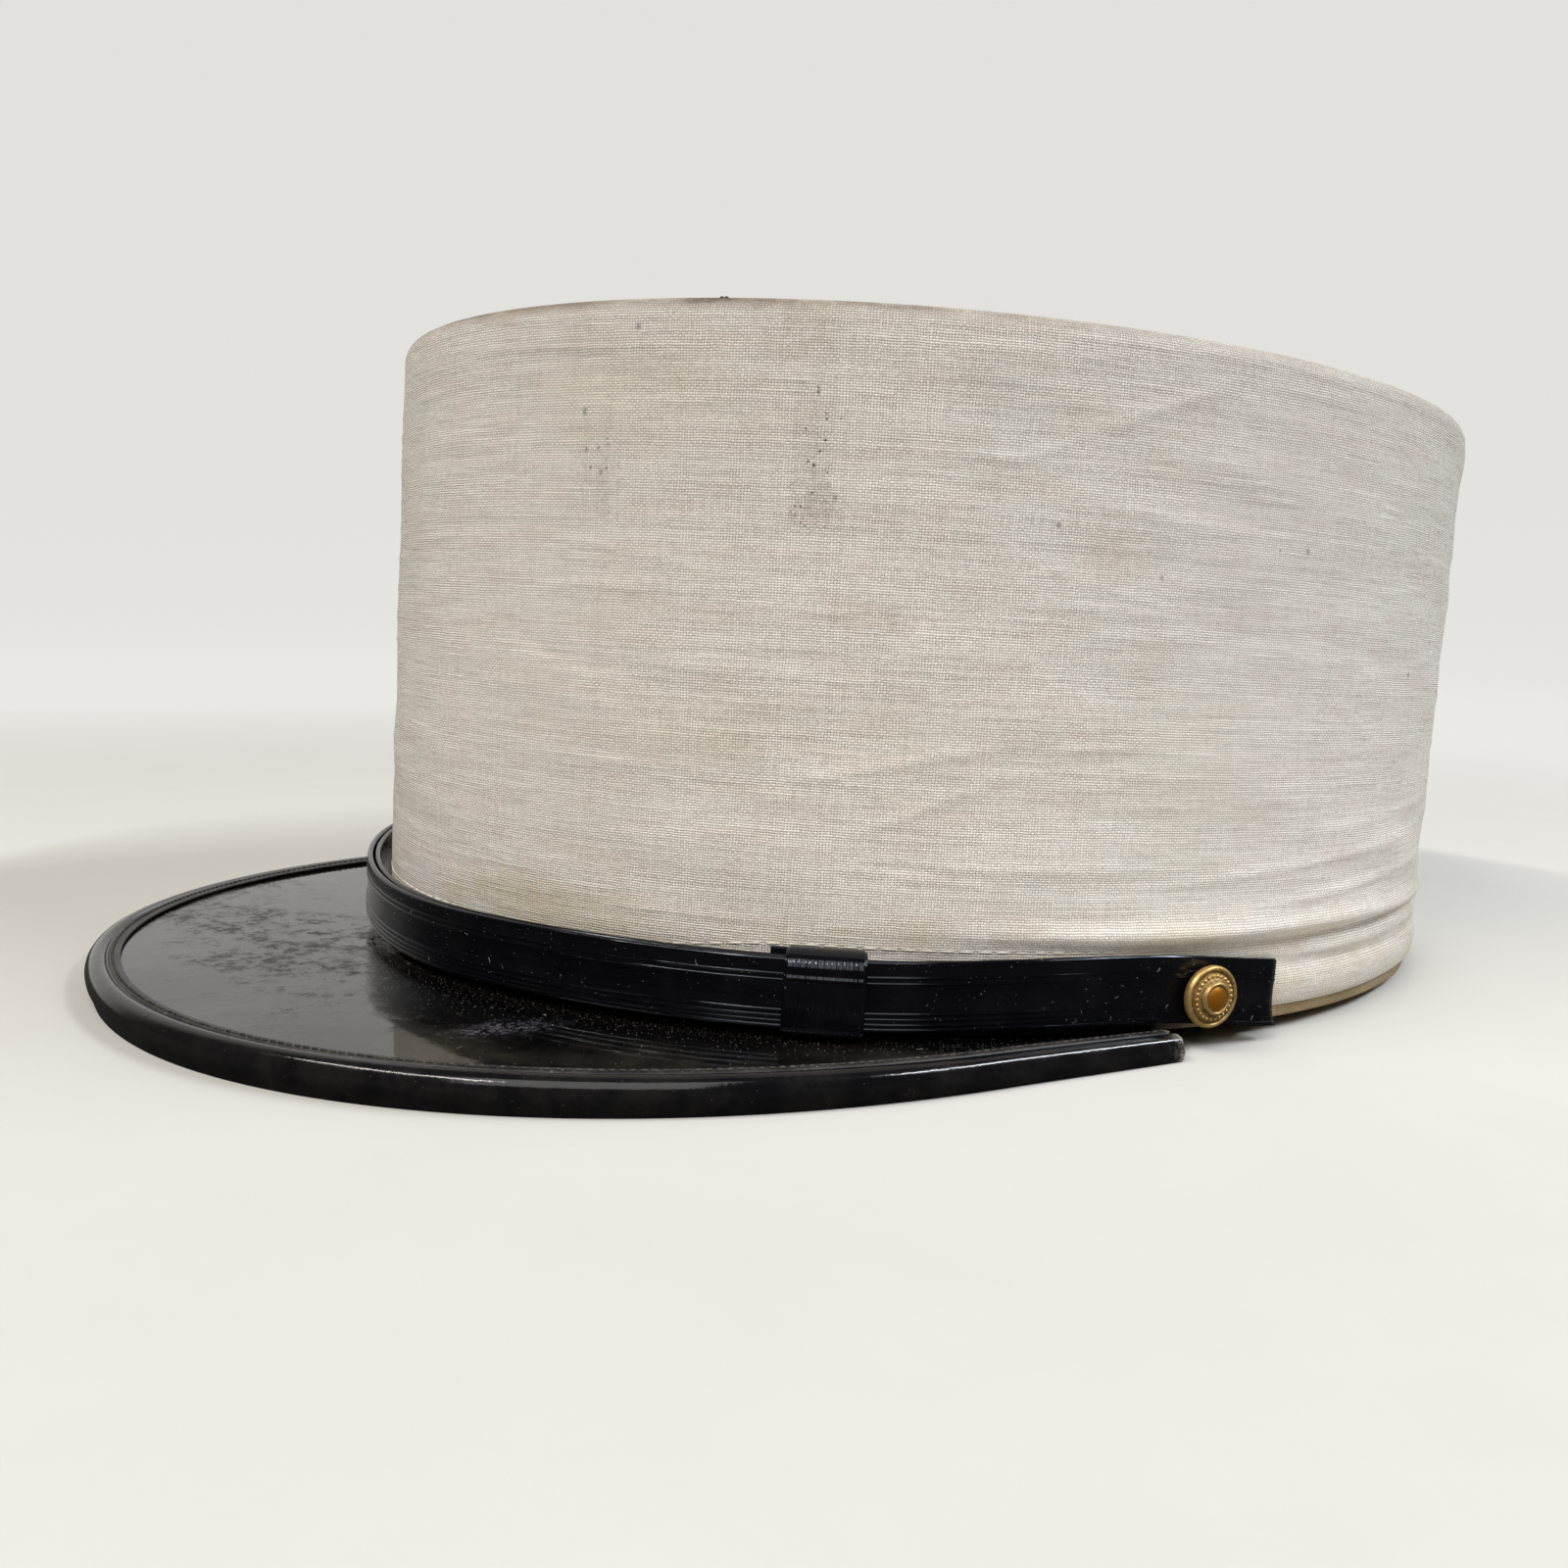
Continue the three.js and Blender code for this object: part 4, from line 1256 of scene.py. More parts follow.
def stitch_tree():
    tree, given, result = new_tree(
        "stitch_row", Pitch=0.0013, Length=0.001, Thread=0.0003, Seed=1, Material=None
    )
    curve = put(tree, "GeometryNodeMeshToCurve", given["Geometry"])
    spaced = tree.nodes.new("GeometryNodeResampleCurve")
    spaced.mode = "LENGTH"
    feed(tree, spaced.inputs["Curve"], curve)
    feed(tree, spaced.inputs["Length"], given["Pitch"])
    grain = put(tree, "GeometryNodeMeshUVSphere", 8, 6, 0.5)
    uneven = put(tree, "FunctionNodeRandomValue", None, None, 0.85, 1.12, out=1, data_type="FLOAT")
    feed(tree, uneven.node.inputs["Seed"], given["Seed"])
    long = times(tree, given["Length"], uneven)
    size = put(tree, "ShaderNodeCombineXYZ", long, given["Thread"], given["Thread"])
    spots = spaced.outputs[0]
    made = put(tree, "GeometryNodeInstanceOnPoints", spots, None, grain, None, None, along_path(tree), size)
    finish_tree(tree, made, given["Material"], result)
    return tree


STITCH_ROW = stitch_tree()
print("stitch tree:", len(STITCH_ROW.nodes), "nodes")


# %% Run a tree on a piece
def run_tree(piece, tree, **values):
    """Runs a tree on a piece and keeps its result as the piece's own plain mesh."""
    modifier = piece.modifiers.new(tree.name, "NODES")
    modifier.node_group = tree
    for item in tree.interface.items_tree:
        label = item.name.replace(" ", "_")
        if item.in_out == "INPUT" and label in values:
            modifier[item.identifier] = values[label]
    graph = bpy.context.evaluated_depsgraph_get()
    mesh = bpy.data.meshes.new_from_object(piece.evaluated_get(graph), depsgraph=graph)
    piece.modifiers.clear()
    piece.data = mesh
    mesh.name = piece.name
    print(f"{piece.name}: {len(mesh.polygons)} faces from {tree.name}")


def path_piece(name, points, lift):
    """A piece that holds a path of edges on the hat, with a lift direction at every point."""
    mesh = bpy.data.meshes.new(name)
    edges = [(k, k + 1) for k in range(len(points) - 1)]
    mesh.from_pydata(seat(points).tolist(), edges, [])
    attribute = mesh.attributes.new("lift", "FLOAT_VECTOR", "POINT")
    attribute.data.foreach_set("vector", seat_direction(lift).astype(np.float32).ravel())
    piece = bpy.data.objects.new(name, mesh)
    scene.collection.objects.link(piece)
    return piece


# %% Stitches on the bead's lip
def black_thread():
    material, tree, shader = new_material("black_thread")
    spot = object_place(tree)
    dusty = ramp(tree, noise(tree, spot, 400.0, 4.0, 0.7), 0.4, 0.7, 0.02, 0.3)
    feed(tree, shader["Base Color"], blend(tree, dusty, tone(22, 20, 20), tone(150, 140, 122)))
    feed(tree, shader["Roughness"], ramp(tree, dusty, 0.0, 0.3, 0.55, 0.85))
    return material


BEAD_STITCH = {"out": -0.75, "up": 0.84}
BEAD_STITCH_SIZES = {"Pitch": 0.00135, "Length": 0.0011, "Thread": 0.00045, "Seed": 4}
stitch_line = bead_line(BEAD_STITCH["out"], BEAD_STITCH["up"])[3:-3]
straight_up = np.tile([0.0, 0.0, 1.0], (len(stitch_line), 1))
bead_stitches = path_piece("bead_stitches", stitch_line, straight_up)
BLACK_THREAD = black_thread()
run_tree(bead_stitches, STITCH_ROW, Material=BLACK_THREAD, **BEAD_STITCH_SIZES)
dress(bead_stitches, BLACK_THREAD, "black_bead")

# %% [markdown]
# ## The chin strap
# The strap is extruded vinyl with fine ribs along it: two near the top edge, four near the bottom. It is
# in two halves. Each starts under a button, passes the front and ends in a loop on the other half,
# so they can slide. The ribs are real shape here, points of the section that stand out, because
# their thin highlights are what tells vinyl from plain leather.

# %% Run of the strap
STRAP_WIDTH = 10.2
STRAP = 1.0
STRAP_END = 93.7
SLIDE_ANGLE = 53.0
LAYER_OVER = 58
LAYER_DOWN = 78
STRAP_RUN = table(
    "angle top off",
    (-93.7, 8.8, 0.4),
    (-80, 11, 0.6),
    (-53, 12.6, 1.6),
    (-30, 12.2, 2.2),
    (0, 9.7, 1.6),
    (30, 9.8, 1.4),
    (53, 10.1, 1.6),
    (80, 10.8, 0.6),
    (93.7, 8.8, 0.4),
)


def run_curve(name, angle):
    """A smooth curve through one column of the strap's run."""
    at = np.array([row["angle"] for row in STRAP_RUN], float)
    value = np.array([row[name] for row in STRAP_RUN], float)
    before = np.maximum(np.arange(len(at)) - 1, 0)
    after = np.minimum(np.arange(len(at)) + 1, len(at) - 1)
    slope = (value[after] - value[before]) / (at[after] - at[before])
    k = np.clip(np.searchsorted(at, angle) - 1, 0, len(at) - 2)
    span = at[k + 1] - at[k]
    u = np.clip((angle - at[k]) / span, 0, 1)
    rise = (value[k + 1] - value[k]) * u * u * (3 - 2 * u)
    return value[k] + rise + slope[k] * span * u * (1 - u) ** 2 - slope[k + 1] * span * u * u * (1 - u)


def strap_off(angle, layer):
    """Room between the cloth and the back of the strap; the upper layer clears the lower one."""
    return run_curve("off", angle) + layer * (STRAP + GAP) * (1 - grow(angle, LAYER_OVER, LAYER_DOWN))


def strap_point(angle, off, height):
    """A point that stands off the crown's wall."""
    return oval(angle, 0, height) + outward_at(angle, height) * np.asarray(off)[..., None]


print(f"strap: {STRAP_WIDTH} mm wide, with {len(STRAP_RUN)} places along its run")

# %% Section of the strap
STRAP_RIBS = (0.55, 1.2, 1.95, 2.75, 7.0, 7.85)
RIB_HEIGHT = 0.12
RIB_HALF = 0.15
STRAP_CURL = {"reach": 1.2, "start": 87, "full": 92, "height": 2.8}
STRAP_HOLLOW = {"deep": 0.1, "at": 4.9, "half": 1.5}
STRAP_STATIONS = 300
STRAP_FACE = 130
STRAP_FACE_IN = 0.04
STRAP_FACE_MARGIN = 0.1
STRAP_BACK = [(0.0, 3.0), (0.0, 7.0)]
STRAP_CUT_FADE = 0.25
STRAP_WAVER = {"up": (0.08, 1.3, 5), "off": (0.06, 1.7, 4)}


def strap_outline():
    """Section of the strap as (out, up) points: round the top edge, down the ribbed face, round the foot."""
    half = STRAP / 2
    top = arc(180, 0, 9)
    foot = arc(0, -180, 9)
    up = np.linspace(STRAP_WIDTH - half - STRAP_FACE_MARGIN, half + STRAP_FACE_MARGIN, STRAP_FACE)
    ribs = sum(np.exp(-(((up - rib) / RIB_HALF) ** 2)) for rib in STRAP_RIBS)
    hollow = -STRAP_HOLLOW["deep"] * np.exp(-(((up - STRAP_HOLLOW["at"]) / STRAP_HOLLOW["half"]) ** 4))
    over = np.stack([half + half * np.cos(top), STRAP_WIDTH - half + half * np.sin(top)], axis=-1)
    ribbed = np.stack([STRAP - STRAP_FACE_IN + RIB_HEIGHT * ribs + hollow, up], axis=-1)
    under = np.stack([half + half * np.cos(foot), half + half * np.sin(foot)], axis=-1)
    return np.concatenate([over, ribbed, under, STRAP_BACK])


print("section of the strap:", len(strap_outline()), "points")


# %% Loft the strap halves
def strap_waver(direction, angle):
    """How far the strap strays from its run, up or off the cloth."""
    reach, pace, row = STRAP_WAVER[direction]
    return reach * ripple(angle * pace, row)


def strap_half(name, start, end, layer):
    """One half of the strap, from its cut end at the button to its end in the far loop."""
    angle = np.linspace(start, end, STRAP_STATIONS)[:, None]
    outline = strap_outline()
    foot = run_curve("top", angle) - STRAP_WIDTH + strap_waver("up", angle)
    off = strap_off(angle, layer) + strap_waver("off", angle)
    curl = STRAP_CURL["reach"] * grow(np.abs(angle), STRAP_CURL["start"], STRAP_CURL["full"])
    curl = curl * np.clip(1 - outline[:, 1] / STRAP_CURL["height"], 0, 1) ** 2
    sections = strap_point(angle + 0 * outline[:, 0], off + outline[:, 0] + curl, foot + outline[:, 1])
    along = lengths(sections[:, 0])
    piece = skin(name, sections, along=along, across=lengths(outline, closed=True), sharp=50)
    paint(piece, "dusty", np.tile(grow(outline[:, 0], STRAP / 2, STRAP), STRAP_STATIONS))
    near_cut = np.minimum(along, along[-1] - along)
    paint(piece, "cut", np.repeat(np.exp(-near_cut / STRAP_CUT_FADE), len(outline)))
    return piece


strap_left = strap_half("chin_strap_outer", -SLIDE_ANGLE, STRAP_END, 1)
strap_right = strap_half("chin_strap_inner", -STRAP_END, SLIDE_ANGLE, 0)

# %% [markdown]
# ## Vinyl of the strap
# The strap was drawn through a die, so it carries hair-fine lines along its length. They are far too fine
# for points, and so they are a noise, stretched along the strap's own UV map and used as bump. A few
# pale flecks and a thin film of dust keep the black from looking like paint.

# %% Black vinyl of the strap
STRAP_BLACK = (0.0028, 0.0028, 0.0042, 1.0)
STRAP_DUST = tone(196, 188, 172)


def black_strap():
    material, tree, shader = new_material("black_strap", IOR=1.37, Specular_Tint=(0.78, 0.86, 1.0, 1.0))
    spot = object_place(tree)
    grain = own_map(tree)
    cut = painted(tree, "cut")
    drawn = noise(tree, stretch(tree, grain, 25.0, 5200.0, 1.0), 1.0, 2.0, 0.6)
    fine = grains(tree, spot, 1100.0, 0.1, 0.22)
    flakes = grains(tree, spot, 260.0, 0.05, 0.12)
    film = ramp(tree, noise(tree, spot, 90.0, 5.0, 0.65), 0.4, 0.72)
    specks = calc(tree, "ADD", times(tree, fine, 0.16), times(tree, flakes, 0.7))
    pale = scaled(tree, film, 0.006, specks)
    pale = scaled(tree, cut, 0.06, pale)
    feed(tree, shader["Base Color"], blend(tree, pale, STRAP_BLACK, STRAP_DUST))
    rough = scaled(tree, film, 0.06, scaled(tree, drawn, 0.08, 0.045))
    feed(tree, shader["Roughness"], scaled(tree, specks, 0.5, rough))
    feed(tree, shader["Normal"], bump(tree, drawn, 0.00005, 0.6))
    return material


BLACK_STRAP = black_strap()
dress(strap_left, BLACK_STRAP, "black_strap", "chin_strap_left")
dress(strap_right, BLACK_STRAP, "black_strap", "chin_strap_right")

# %% [markdown]
# ## The sliding loops
# Each half ends in a short loop that grips the other half. It is heat-shrunk vinyl, so it hugs the strap,
# bulges a little over its edges and is drawn into fine grooves across the strap. The loop is skinned
# round its own path, and the grooves come from a sum of short waves along its length.

# %% Sizes and grooves of the loops
SLIDE_LENGTH = 11.1
SLIDE_WALL = 0.8
SLIDE_SHARES = 141
SLIDE_BENDS = {"top": 2.6, "foot": 1.2, "back": 0.3}
SLIDE_BULGE = 0.4
SLIDE_RIB = {"below": 2.9, "reach": 0.3, "half": 0.36}
SLIDE_FACE = 60
SLIDE_BEND_STEPS = 25
SLIDE_EDGE = {"power": 14, "thin": 0.35}
GROOVES = 16
GROOVE_DEPTH = 0.1
groove_draw = np.random.default_rng(19)
groove_pitch = groove_draw.uniform(0.25, 0.8, GROOVES)
groove_phase = groove_draw.uniform(0, 2 * math.pi, GROOVES)


def grooves(share):
    """Fine grooves drawn across the loop."""
    run = share * SLIDE_LENGTH / 2
    return sum(np.cos(run * 2 * math.pi / p + f) for p, f in zip(groove_pitch, groove_phase)) / GROOVES


print(GROOVES, "waves make the grooves of a loop")


# %% Path of a loop round the strap
def slide_path(angle):
    """The loop's inner path: rows of out, up, and the direction out and up that its wall faces."""
    inner = run_curve("off", angle) - GAP
    outer = inner + 2 * STRAP + 3 * GAP + SLIDE_BULGE
    top = run_curve("top", angle) + GAP
    foot = top - STRAP_WIDTH - 2 * GAP
    path = []
    for turn, radius, out, up in (
        (-90, SLIDE_BENDS["foot"], outer, foot),
        (0, SLIDE_BENDS["top"], outer, top),
        (90, SLIDE_BENDS["back"], inner, top),
        (180, SLIDE_BENDS["back"], inner, foot),
    ):
        middle_out = out - math.copysign(radius, out - (inner + outer) / 2)
        middle_up = up - math.copysign(radius, up - (foot + top) / 2)
        if turn == 0:
            levels = np.linspace(path[-1][1], middle_up, SLIDE_FACE + 2)[1:-1]
            path += [(outer, level, 1.0, 0.0) for level in levels]
        for bend in arc(turn, turn + 90, SLIDE_BEND_STEPS):
            face_out, face_up = math.cos(bend), math.sin(bend)
            path.append((middle_out + radius * face_out, middle_up + radius * face_up, face_out, face_up))
    path = np.array(path)
    from_rib = (path[:, 1] - top + SLIDE_RIB["below"]) / SLIDE_RIB["half"]
    path[:, 0] += np.clip(path[:, 2], 0, 1) * SLIDE_RIB["reach"] * np.exp(-(from_rib ** 2))
    return path


print(f"loops: {SLIDE_LENGTH} mm long, with {len(slide_path(SLIDE_ANGLE))} points round the strap")


# %% Skin the loops
def slide_loop(name, angle):
    """A loop round both layers of the strap."""
    path = slide_path(angle)
    half_turn = math.degrees(SLIDE_LENGTH / 2 / np.linalg.norm(oval(angle, -path[:, 0].max(), 0.0)))
    share = np.concatenate([[1.0, -1.0], np.linspace(-1, 1, SLIDE_SHARES)])
    edge = np.sqrt(np.clip(1 - (np.abs(share) ** SLIDE_EDGE["power"]), 0, 1))
    thin = SLIDE_EDGE["thin"]
    wall = SLIDE_WALL * (thin + (1 - thin) * edge) + GROOVE_DEPTH * grooves(share)
    wall[:2] = 0
    out = path[:, :1] + path[:, 2:3] * wall
    up = path[:, 1:2] + path[:, 3:4] * wall
    sections = strap_point(angle + share * half_turn + 0 * out, out, up)
    around_loop = lengths(sections[:, 0], closed=True)
    piece = skin(name, sections, loop=True, along=around_loop, across=lengths(sections[3], closed=True))
    paint(piece, "cut", np.zeros(sections.shape[:2]))
    return piece


slide_left = slide_loop("slide_loop_left", SLIDE_ANGLE)
slide_right = slide_loop("slide_loop_right", -SLIDE_ANGLE)
dress(slide_left, BLACK_STRAP, "black_strap", "strap_slide_left")
dress(slide_right, BLACK_STRAP, "black_strap", "strap_slide_right")

# %% Turned-over end beside the left loop
TAB = {"start": 3.0, "end": 4.6, "rise": 0.75, "drop": 3.0, "thick": 0.8, "round": 0.2}


def loop_tab(name, angle):
    """The end of the inner layer, which is turned up behind the loop and peeps out beside it."""
    side = -math.copysign(1, angle)
    at = angle + side * np.linspace(TAB["start"], TAB["end"], 8)[:, None]
    top = run_curve("top", at)
    thick, rise, drop, round_off = TAB["thick"], TAB["rise"], TAB["drop"], TAB["round"]
    half = [(0, -drop), (0, rise - round_off), (round_off, rise)]
    corners = np.array(half + [(thick - out, up) for out, up in half[::-1]])
    off = run_curve("off", at) - GAP - thick
    sections = strap_point(at + 0 * corners[:, 0], off + corners[:, 0], top + corners[:, 1])
    return skin(name, sections, along=lengths(sections[:, 0]), across=lengths(corners, closed=True))


tab_left = loop_tab("loop_tab_left", SLIDE_ANGLE)
dress(tab_left, BLACK_STRAP, "black_strap")

# %% [markdown]
# ## Hem stitches
# Just above the strap the hem is caught down by a line of white stitches, each a little arch of thread.
# The same tree that made the black stitches makes them, with a longer pitch and on another path: a line
# on the cloth, a millimetre above the strap's upper edge, lifted along the wall's own direction.

# %% Stitches above the strap
HEM_STITCH = {"height": 10.9, "dip": 2.4, "from": 32, "to": 52}
HEM_STITCH_END = 92.0
HEM_STITCH_SIZES = {"Pitch": 0.0027, "Length": 0.0025, "Thread": 0.00026, "Seed": 9}

hem_angle = np.linspace(-HEM_STITCH_END, HEM_STITCH_END, 500)
hem_dip = HEM_STITCH["dip"] * (1 - grow(np.abs(hem_angle), HEM_STITCH["from"], HEM_STITCH["to"]))
hem_height = HEM_STITCH["height"] - hem_dip
hem_out = relief(hem_angle, hem_height)
hem_path = crown_point(hem_angle, -hem_out, hem_height)
hem_stitches = path_piece("hem_stitches", hem_path, outward_at(hem_angle, hem_height))


def white_thread():
    material, tree, shader = new_material("white_thread", Roughness=0.8, Sheen_Weight=0.2)
    spot = object_place(tree)
    soiled = ramp(tree, noise(tree, spot, 90.0, 4.0, 0.6), 0.35, 0.7)
    feed(tree, shader["Base Color"], blend(tree, soiled, tone(246, 241, 230), tone(226, 218, 202)))
    feed(tree, shader["Normal"], bump(tree, noise(tree, spot, 6000.0, 1.0), 0.00006))
    return material


WHITE_THREAD = white_thread()
run_tree(hem_stitches, STITCH_ROW, Material=WHITE_THREAD, **HEM_STITCH_SIZES)
dress(hem_stitches, WHITE_THREAD, "white_cotton")

# %% [markdown]
# ## A bit of dirt
# One dark crumb stands on the rim and breaks its line against the paper. Paint would not change the
# outline, so it is a shape: the stitch tree again, run on a path half a millimetre long, where a
# few grains close together make one lump.

# %% A bit of dirt on the rim
RIM_FLECK = {"from": 40.5, "to": 40.9, "inset": 1.9, "height": 96.6}
RIM_FLECK_SIZES = {"Pitch": 0.0004, "Length": 0.0007, "Thread": 0.0006, "Seed": 3}

fleck_angle = np.linspace(RIM_FLECK["from"], RIM_FLECK["to"], 4)
fleck_path = crown_point(fleck_angle, RIM_FLECK["inset"], RIM_FLECK["height"] + 0 * fleck_angle)
rim_fleck = path_piece("rim_fleck", fleck_path, np.tile([0.0, 0.0, 1.0], (4, 1)))
run_tree(rim_fleck, STITCH_ROW, Material=BLACK_THREAD, **RIM_FLECK_SIZES)
dress(rim_fleck, BLACK_THREAD, "white_cotton")

# %% [markdown]
# ## The buttons
# The buttons are small stamped brass shells: a raised rim, a ring of relief, an inner ring and a domed
# middle. A turned profile gives all but the relief, and the relief is a ring of plain beads set by
# Geometry Nodes. Both are made flat at the origin, then their points are moved to the hat's side.

# %% Turn the buttons
BUTTON_ANGLE = 85.5
BUTTON_HEIGHT = 4.6
BUTTON_SEGMENTS = 120
BUTTON_PROFILE = [
    (0.05, 0.0), (3.2, 0.0), (4.0, 0.25), (4.45, 0.7), (4.64, 1.2), (4.6, 1.62), (4.38, 1.9), (4.1, 1.93),
    (3.86, 1.72), (3.6, 1.74), (3.1, 2.02), (2.66, 2.3), (2.48, 2.5), (2.36, 2.78), (2.2, 2.9), (2.04, 2.84),
    (1.94, 2.7), (1.84, 2.66), (1.7, 2.74), (1.4, 2.92), (1.0, 3.08), (0.5, 3.18), (0.05, 3.2),
]
BEAD_RING = {"radius": 3.2, "height": 1.98, "count": 26, "size": 0.3}
GRIMY_RINGS = [(3.82, 0.22, 1.0), (2.6, 0.16, 1.0), (1.88, 0.14, 1.0), (3.2, 0.5, 0.45)]
DOME_EDGE = (1.6, 1.85)


def button_matrix(angle):
    """Places a button that was made facing up at the origin, in metres, on the side of the hat."""
    off = strap_off(abs(angle), 0) + STRAP + GAP
    place = Vector(seat(strap_point(np.array(float(angle)), off, BUTTON_HEIGHT)))
    face = Vector(seat_direction(outward_at(np.array(float(angle)), BUTTON_HEIGHT)))
    return Matrix.Translation(place) @ face.to_track_quat("Z", "Y").to_matrix().to_4x4()


def turned(name, profile, matrix):
    """A turned piece: rings of points along a profile of radius and height, in millimetres."""
    turn = np.linspace(0, 2 * math.pi, BUTTON_SEGMENTS, endpoint=False)
    rings = [np.stack([r * np.cos(turn), r * np.sin(turn), 0 * turn + h], axis=-1) for r, h in profile]
    sections = np.array(rings)
    piece = skin(name, sections, sharp=60)
    local = [matrix @ Vector(p) for p in (sections.reshape(-1, 3) * MM).tolist()]
    piece.data.vertices.foreach_set("co", np.array(local, np.float32).ravel())
    piece.data.update()
    return piece


# %% A tree for a ring of beads
def bead_ring_tree():
    tree, given, result = new_tree(
        "bead_ring", Count=26, Radius=0.003, Height=0.002, Size=0.0003, Material=None
    )
    circle = put(tree, "GeometryNodeMeshCircle", given["Count"], given["Radius"])
    lift = put(tree, "ShaderNodeCombineXYZ", 0.0, 0.0, given["Height"])
    raised = put(tree, "GeometryNodeSetPosition", circle, None, None, lift)
    bead_shape = put(tree, "GeometryNodeMeshUVSphere", 12, 8, given["Size"])
    made = put(tree, "GeometryNodeInstanceOnPoints", raised, None, bead_shape)
    finish_tree(tree, made, given["Material"], result)
    return tree


BEAD_RING_TREE = bead_ring_tree()
print("bead ring tree:", len(BEAD_RING_TREE.nodes), "nodes")

# %% [markdown]
# ## Aged brass
# Old brass is bright where hands rub it and brown where polish never reaches. Blender can guess hollows
# from the mesh, but the guess changes with its density. The turned profile knows its rings, so each
# point stores how deep it lies, and the material lays grime there over two tones of brass.

# %% Aged brass
BRASS = {
    "bright": tone(222, 186, 120),
    "dull": tone(188, 150, 86),
    "dome": tone(184, 118, 30),
    "grime": tone(66, 48, 22),
}


def aged_brass():
    material, tree, shader = new_material("aged_brass", Metallic=0.72)
    spot = object_place(tree)
    recess = painted(tree, "recess")
    dome = painted(tree, "dome")
    patina = noise(tree, spot, 1400.0, 5.0, 0.7)
    grime = times(tree, recess, ramp(tree, patina, 0.3, 0.6, 0.6, 1.0))
    colour = blend(tree, ramp(tree, patina, 0.38, 0.66), BRASS["bright"], BRASS["dull"])
    colour = blend(tree, dome, colour, BRASS["dome"])
    colour = blend(tree, times(tree, grime, 0.8), colour, BRASS["grime"])
    feed(tree, shader["Base Color"], colour)
    rough = scaled(tree, patina, 0.3, 0.26)
    feed(tree, shader["Roughness"], scaled(tree, grime, 0.25, rough))
    feed(tree, shader["Normal"], bump(tree, noise(tree, spot, 2600.0, 3.0), 0.00005, 0.5))
    return material


AGED_BRASS = aged_brass()

# %% Make both buttons
button_line = smooth_line(BUTTON_PROFILE, 3)


def button(side, angle):
    """One button: the turned shell and its ring of beads."""
    matrix = button_matrix(angle)
    shell = turned(f"button_{side}_shell", button_line, matrix)
    radius = button_line[:, 0]
    low = sum(share * np.exp(-(((radius - at) / half) ** 2)) for at, half, share in GRIMY_RINGS)
    paint(shell, "recess", np.repeat(np.clip(low, 0, 1), BUTTON_SEGMENTS))
    paint(shell, "dome", np.repeat(1 - grow(radius, *DOME_EDGE), BUTTON_SEGMENTS))
    dress(shell, AGED_BRASS, "aged_brass", f"button_{side}")
    beads = bpy.data.objects.new(f"button_{side}_beads", bpy.data.meshes.new("beads"))
    scene.collection.objects.link(beads)
    run_tree(
        beads, BEAD_RING_TREE, Count=BEAD_RING["count"], Radius=BEAD_RING["radius"] * MM,
        Height=BEAD_RING["height"] * MM, Size=BEAD_RING["size"] * MM, Material=AGED_BRASS,
    )
    beads.data.transform(matrix)
    dress(beads, AGED_BRASS, "aged_brass")


button("left", BUTTON_ANGLE)
button("right", -BUTTON_ANGLE)

# %% [markdown]
# ## Lint and dust
# Black vinyl gathers fibres and grains. Seen along the surface, a painted grain all but vanishes, while
# a real one stands up and catches the light, so these are small shapes. One tree scatters whatever shape
# it is given over the piece it runs on, thickly where the piece's own dusty attribute is high.
# The seed is fixed, so the same hairs and grains lie in the same places in every render.


# %% A tree that scatters small shapes
def scatter_tree(name, make_shape, smallest, largest):
    tree, given, result = new_tree(name, Per_area=2000.0, Size=0.001, Seed=5, Material=None)
    dusty = put(tree, "GeometryNodeInputNamedAttribute", "dusty")
    scattered = put(tree, "GeometryNodeDistributePointsOnFaces", given["Geometry"]).node
    feed(tree, scattered.inputs["Density"], times(tree, given["Per area"], dusty))
    feed(tree, scattered.inputs["Seed"], given["Seed"])
    spin = put(tree, "FunctionNodeRandomValue", None, None, 0.0, 2 * math.pi, out=1, data_type="FLOAT")
    feed(tree, spin.node.inputs["Seed"], given["Seed"])
    turn = put(tree, "FunctionNodeAxisAngleToRotation", (0, 0, 1), spin)
    facing = scattered.outputs["Rotation"]
    laid = put(tree, "FunctionNodeRotateRotation", facing, turn, rotation_space="LOCAL")
    share = put(tree, "FunctionNodeRandomValue", None, None, smallest, largest, out=1, data_type="FLOAT")
    size = times(tree, given["Size"], share)
    spots = scattered.outputs["Points"]
    made = put(tree, "GeometryNodeInstanceOnPoints", spots, None, make_shape(tree), None, None, laid, size)
    finish_tree(tree, made, given["Material"], result)
    return tree


# %% A hair and a grain
def fibre_shape(tree):
    """A short bent hair, one unit long."""
    bend = put(tree, "GeometryNodeCurveQuadraticBezier").node
    ends = {"Start": (-0.5, 0, 0.04), "Middle": (0, 0.14, 0.06), "End": (0.5, -0.08, 0.03)}
    for label, value in {"Resolution": 6, **ends}.items():
        bend.inputs[label].default_value = value
    thin = put(tree, "GeometryNodeCurvePrimitiveCircle", 4).node
    thin.inputs["Radius"].default_value = 0.03
    fibre = put(tree, "GeometryNodeCurveToMesh", bend.outputs[0], thin.outputs[0])
    fibre.node.inputs["Fill Caps"].default_value = True
    return fibre


def grain_shape(tree):
    """A rough grain, one unit across."""
    return put(tree, "GeometryNodeMeshIcoSphere", 0.5, 1)


LINT_TREE = scatter_tree("lint", fibre_shape, 0.35, 1.3)
GRAIN_TREE = scatter_tree("grains", grain_shape, 0.3, 1.2)
print("lint tree:", len(LINT_TREE.nodes), "nodes; grain tree:", len(GRAIN_TREE.nodes), "nodes")


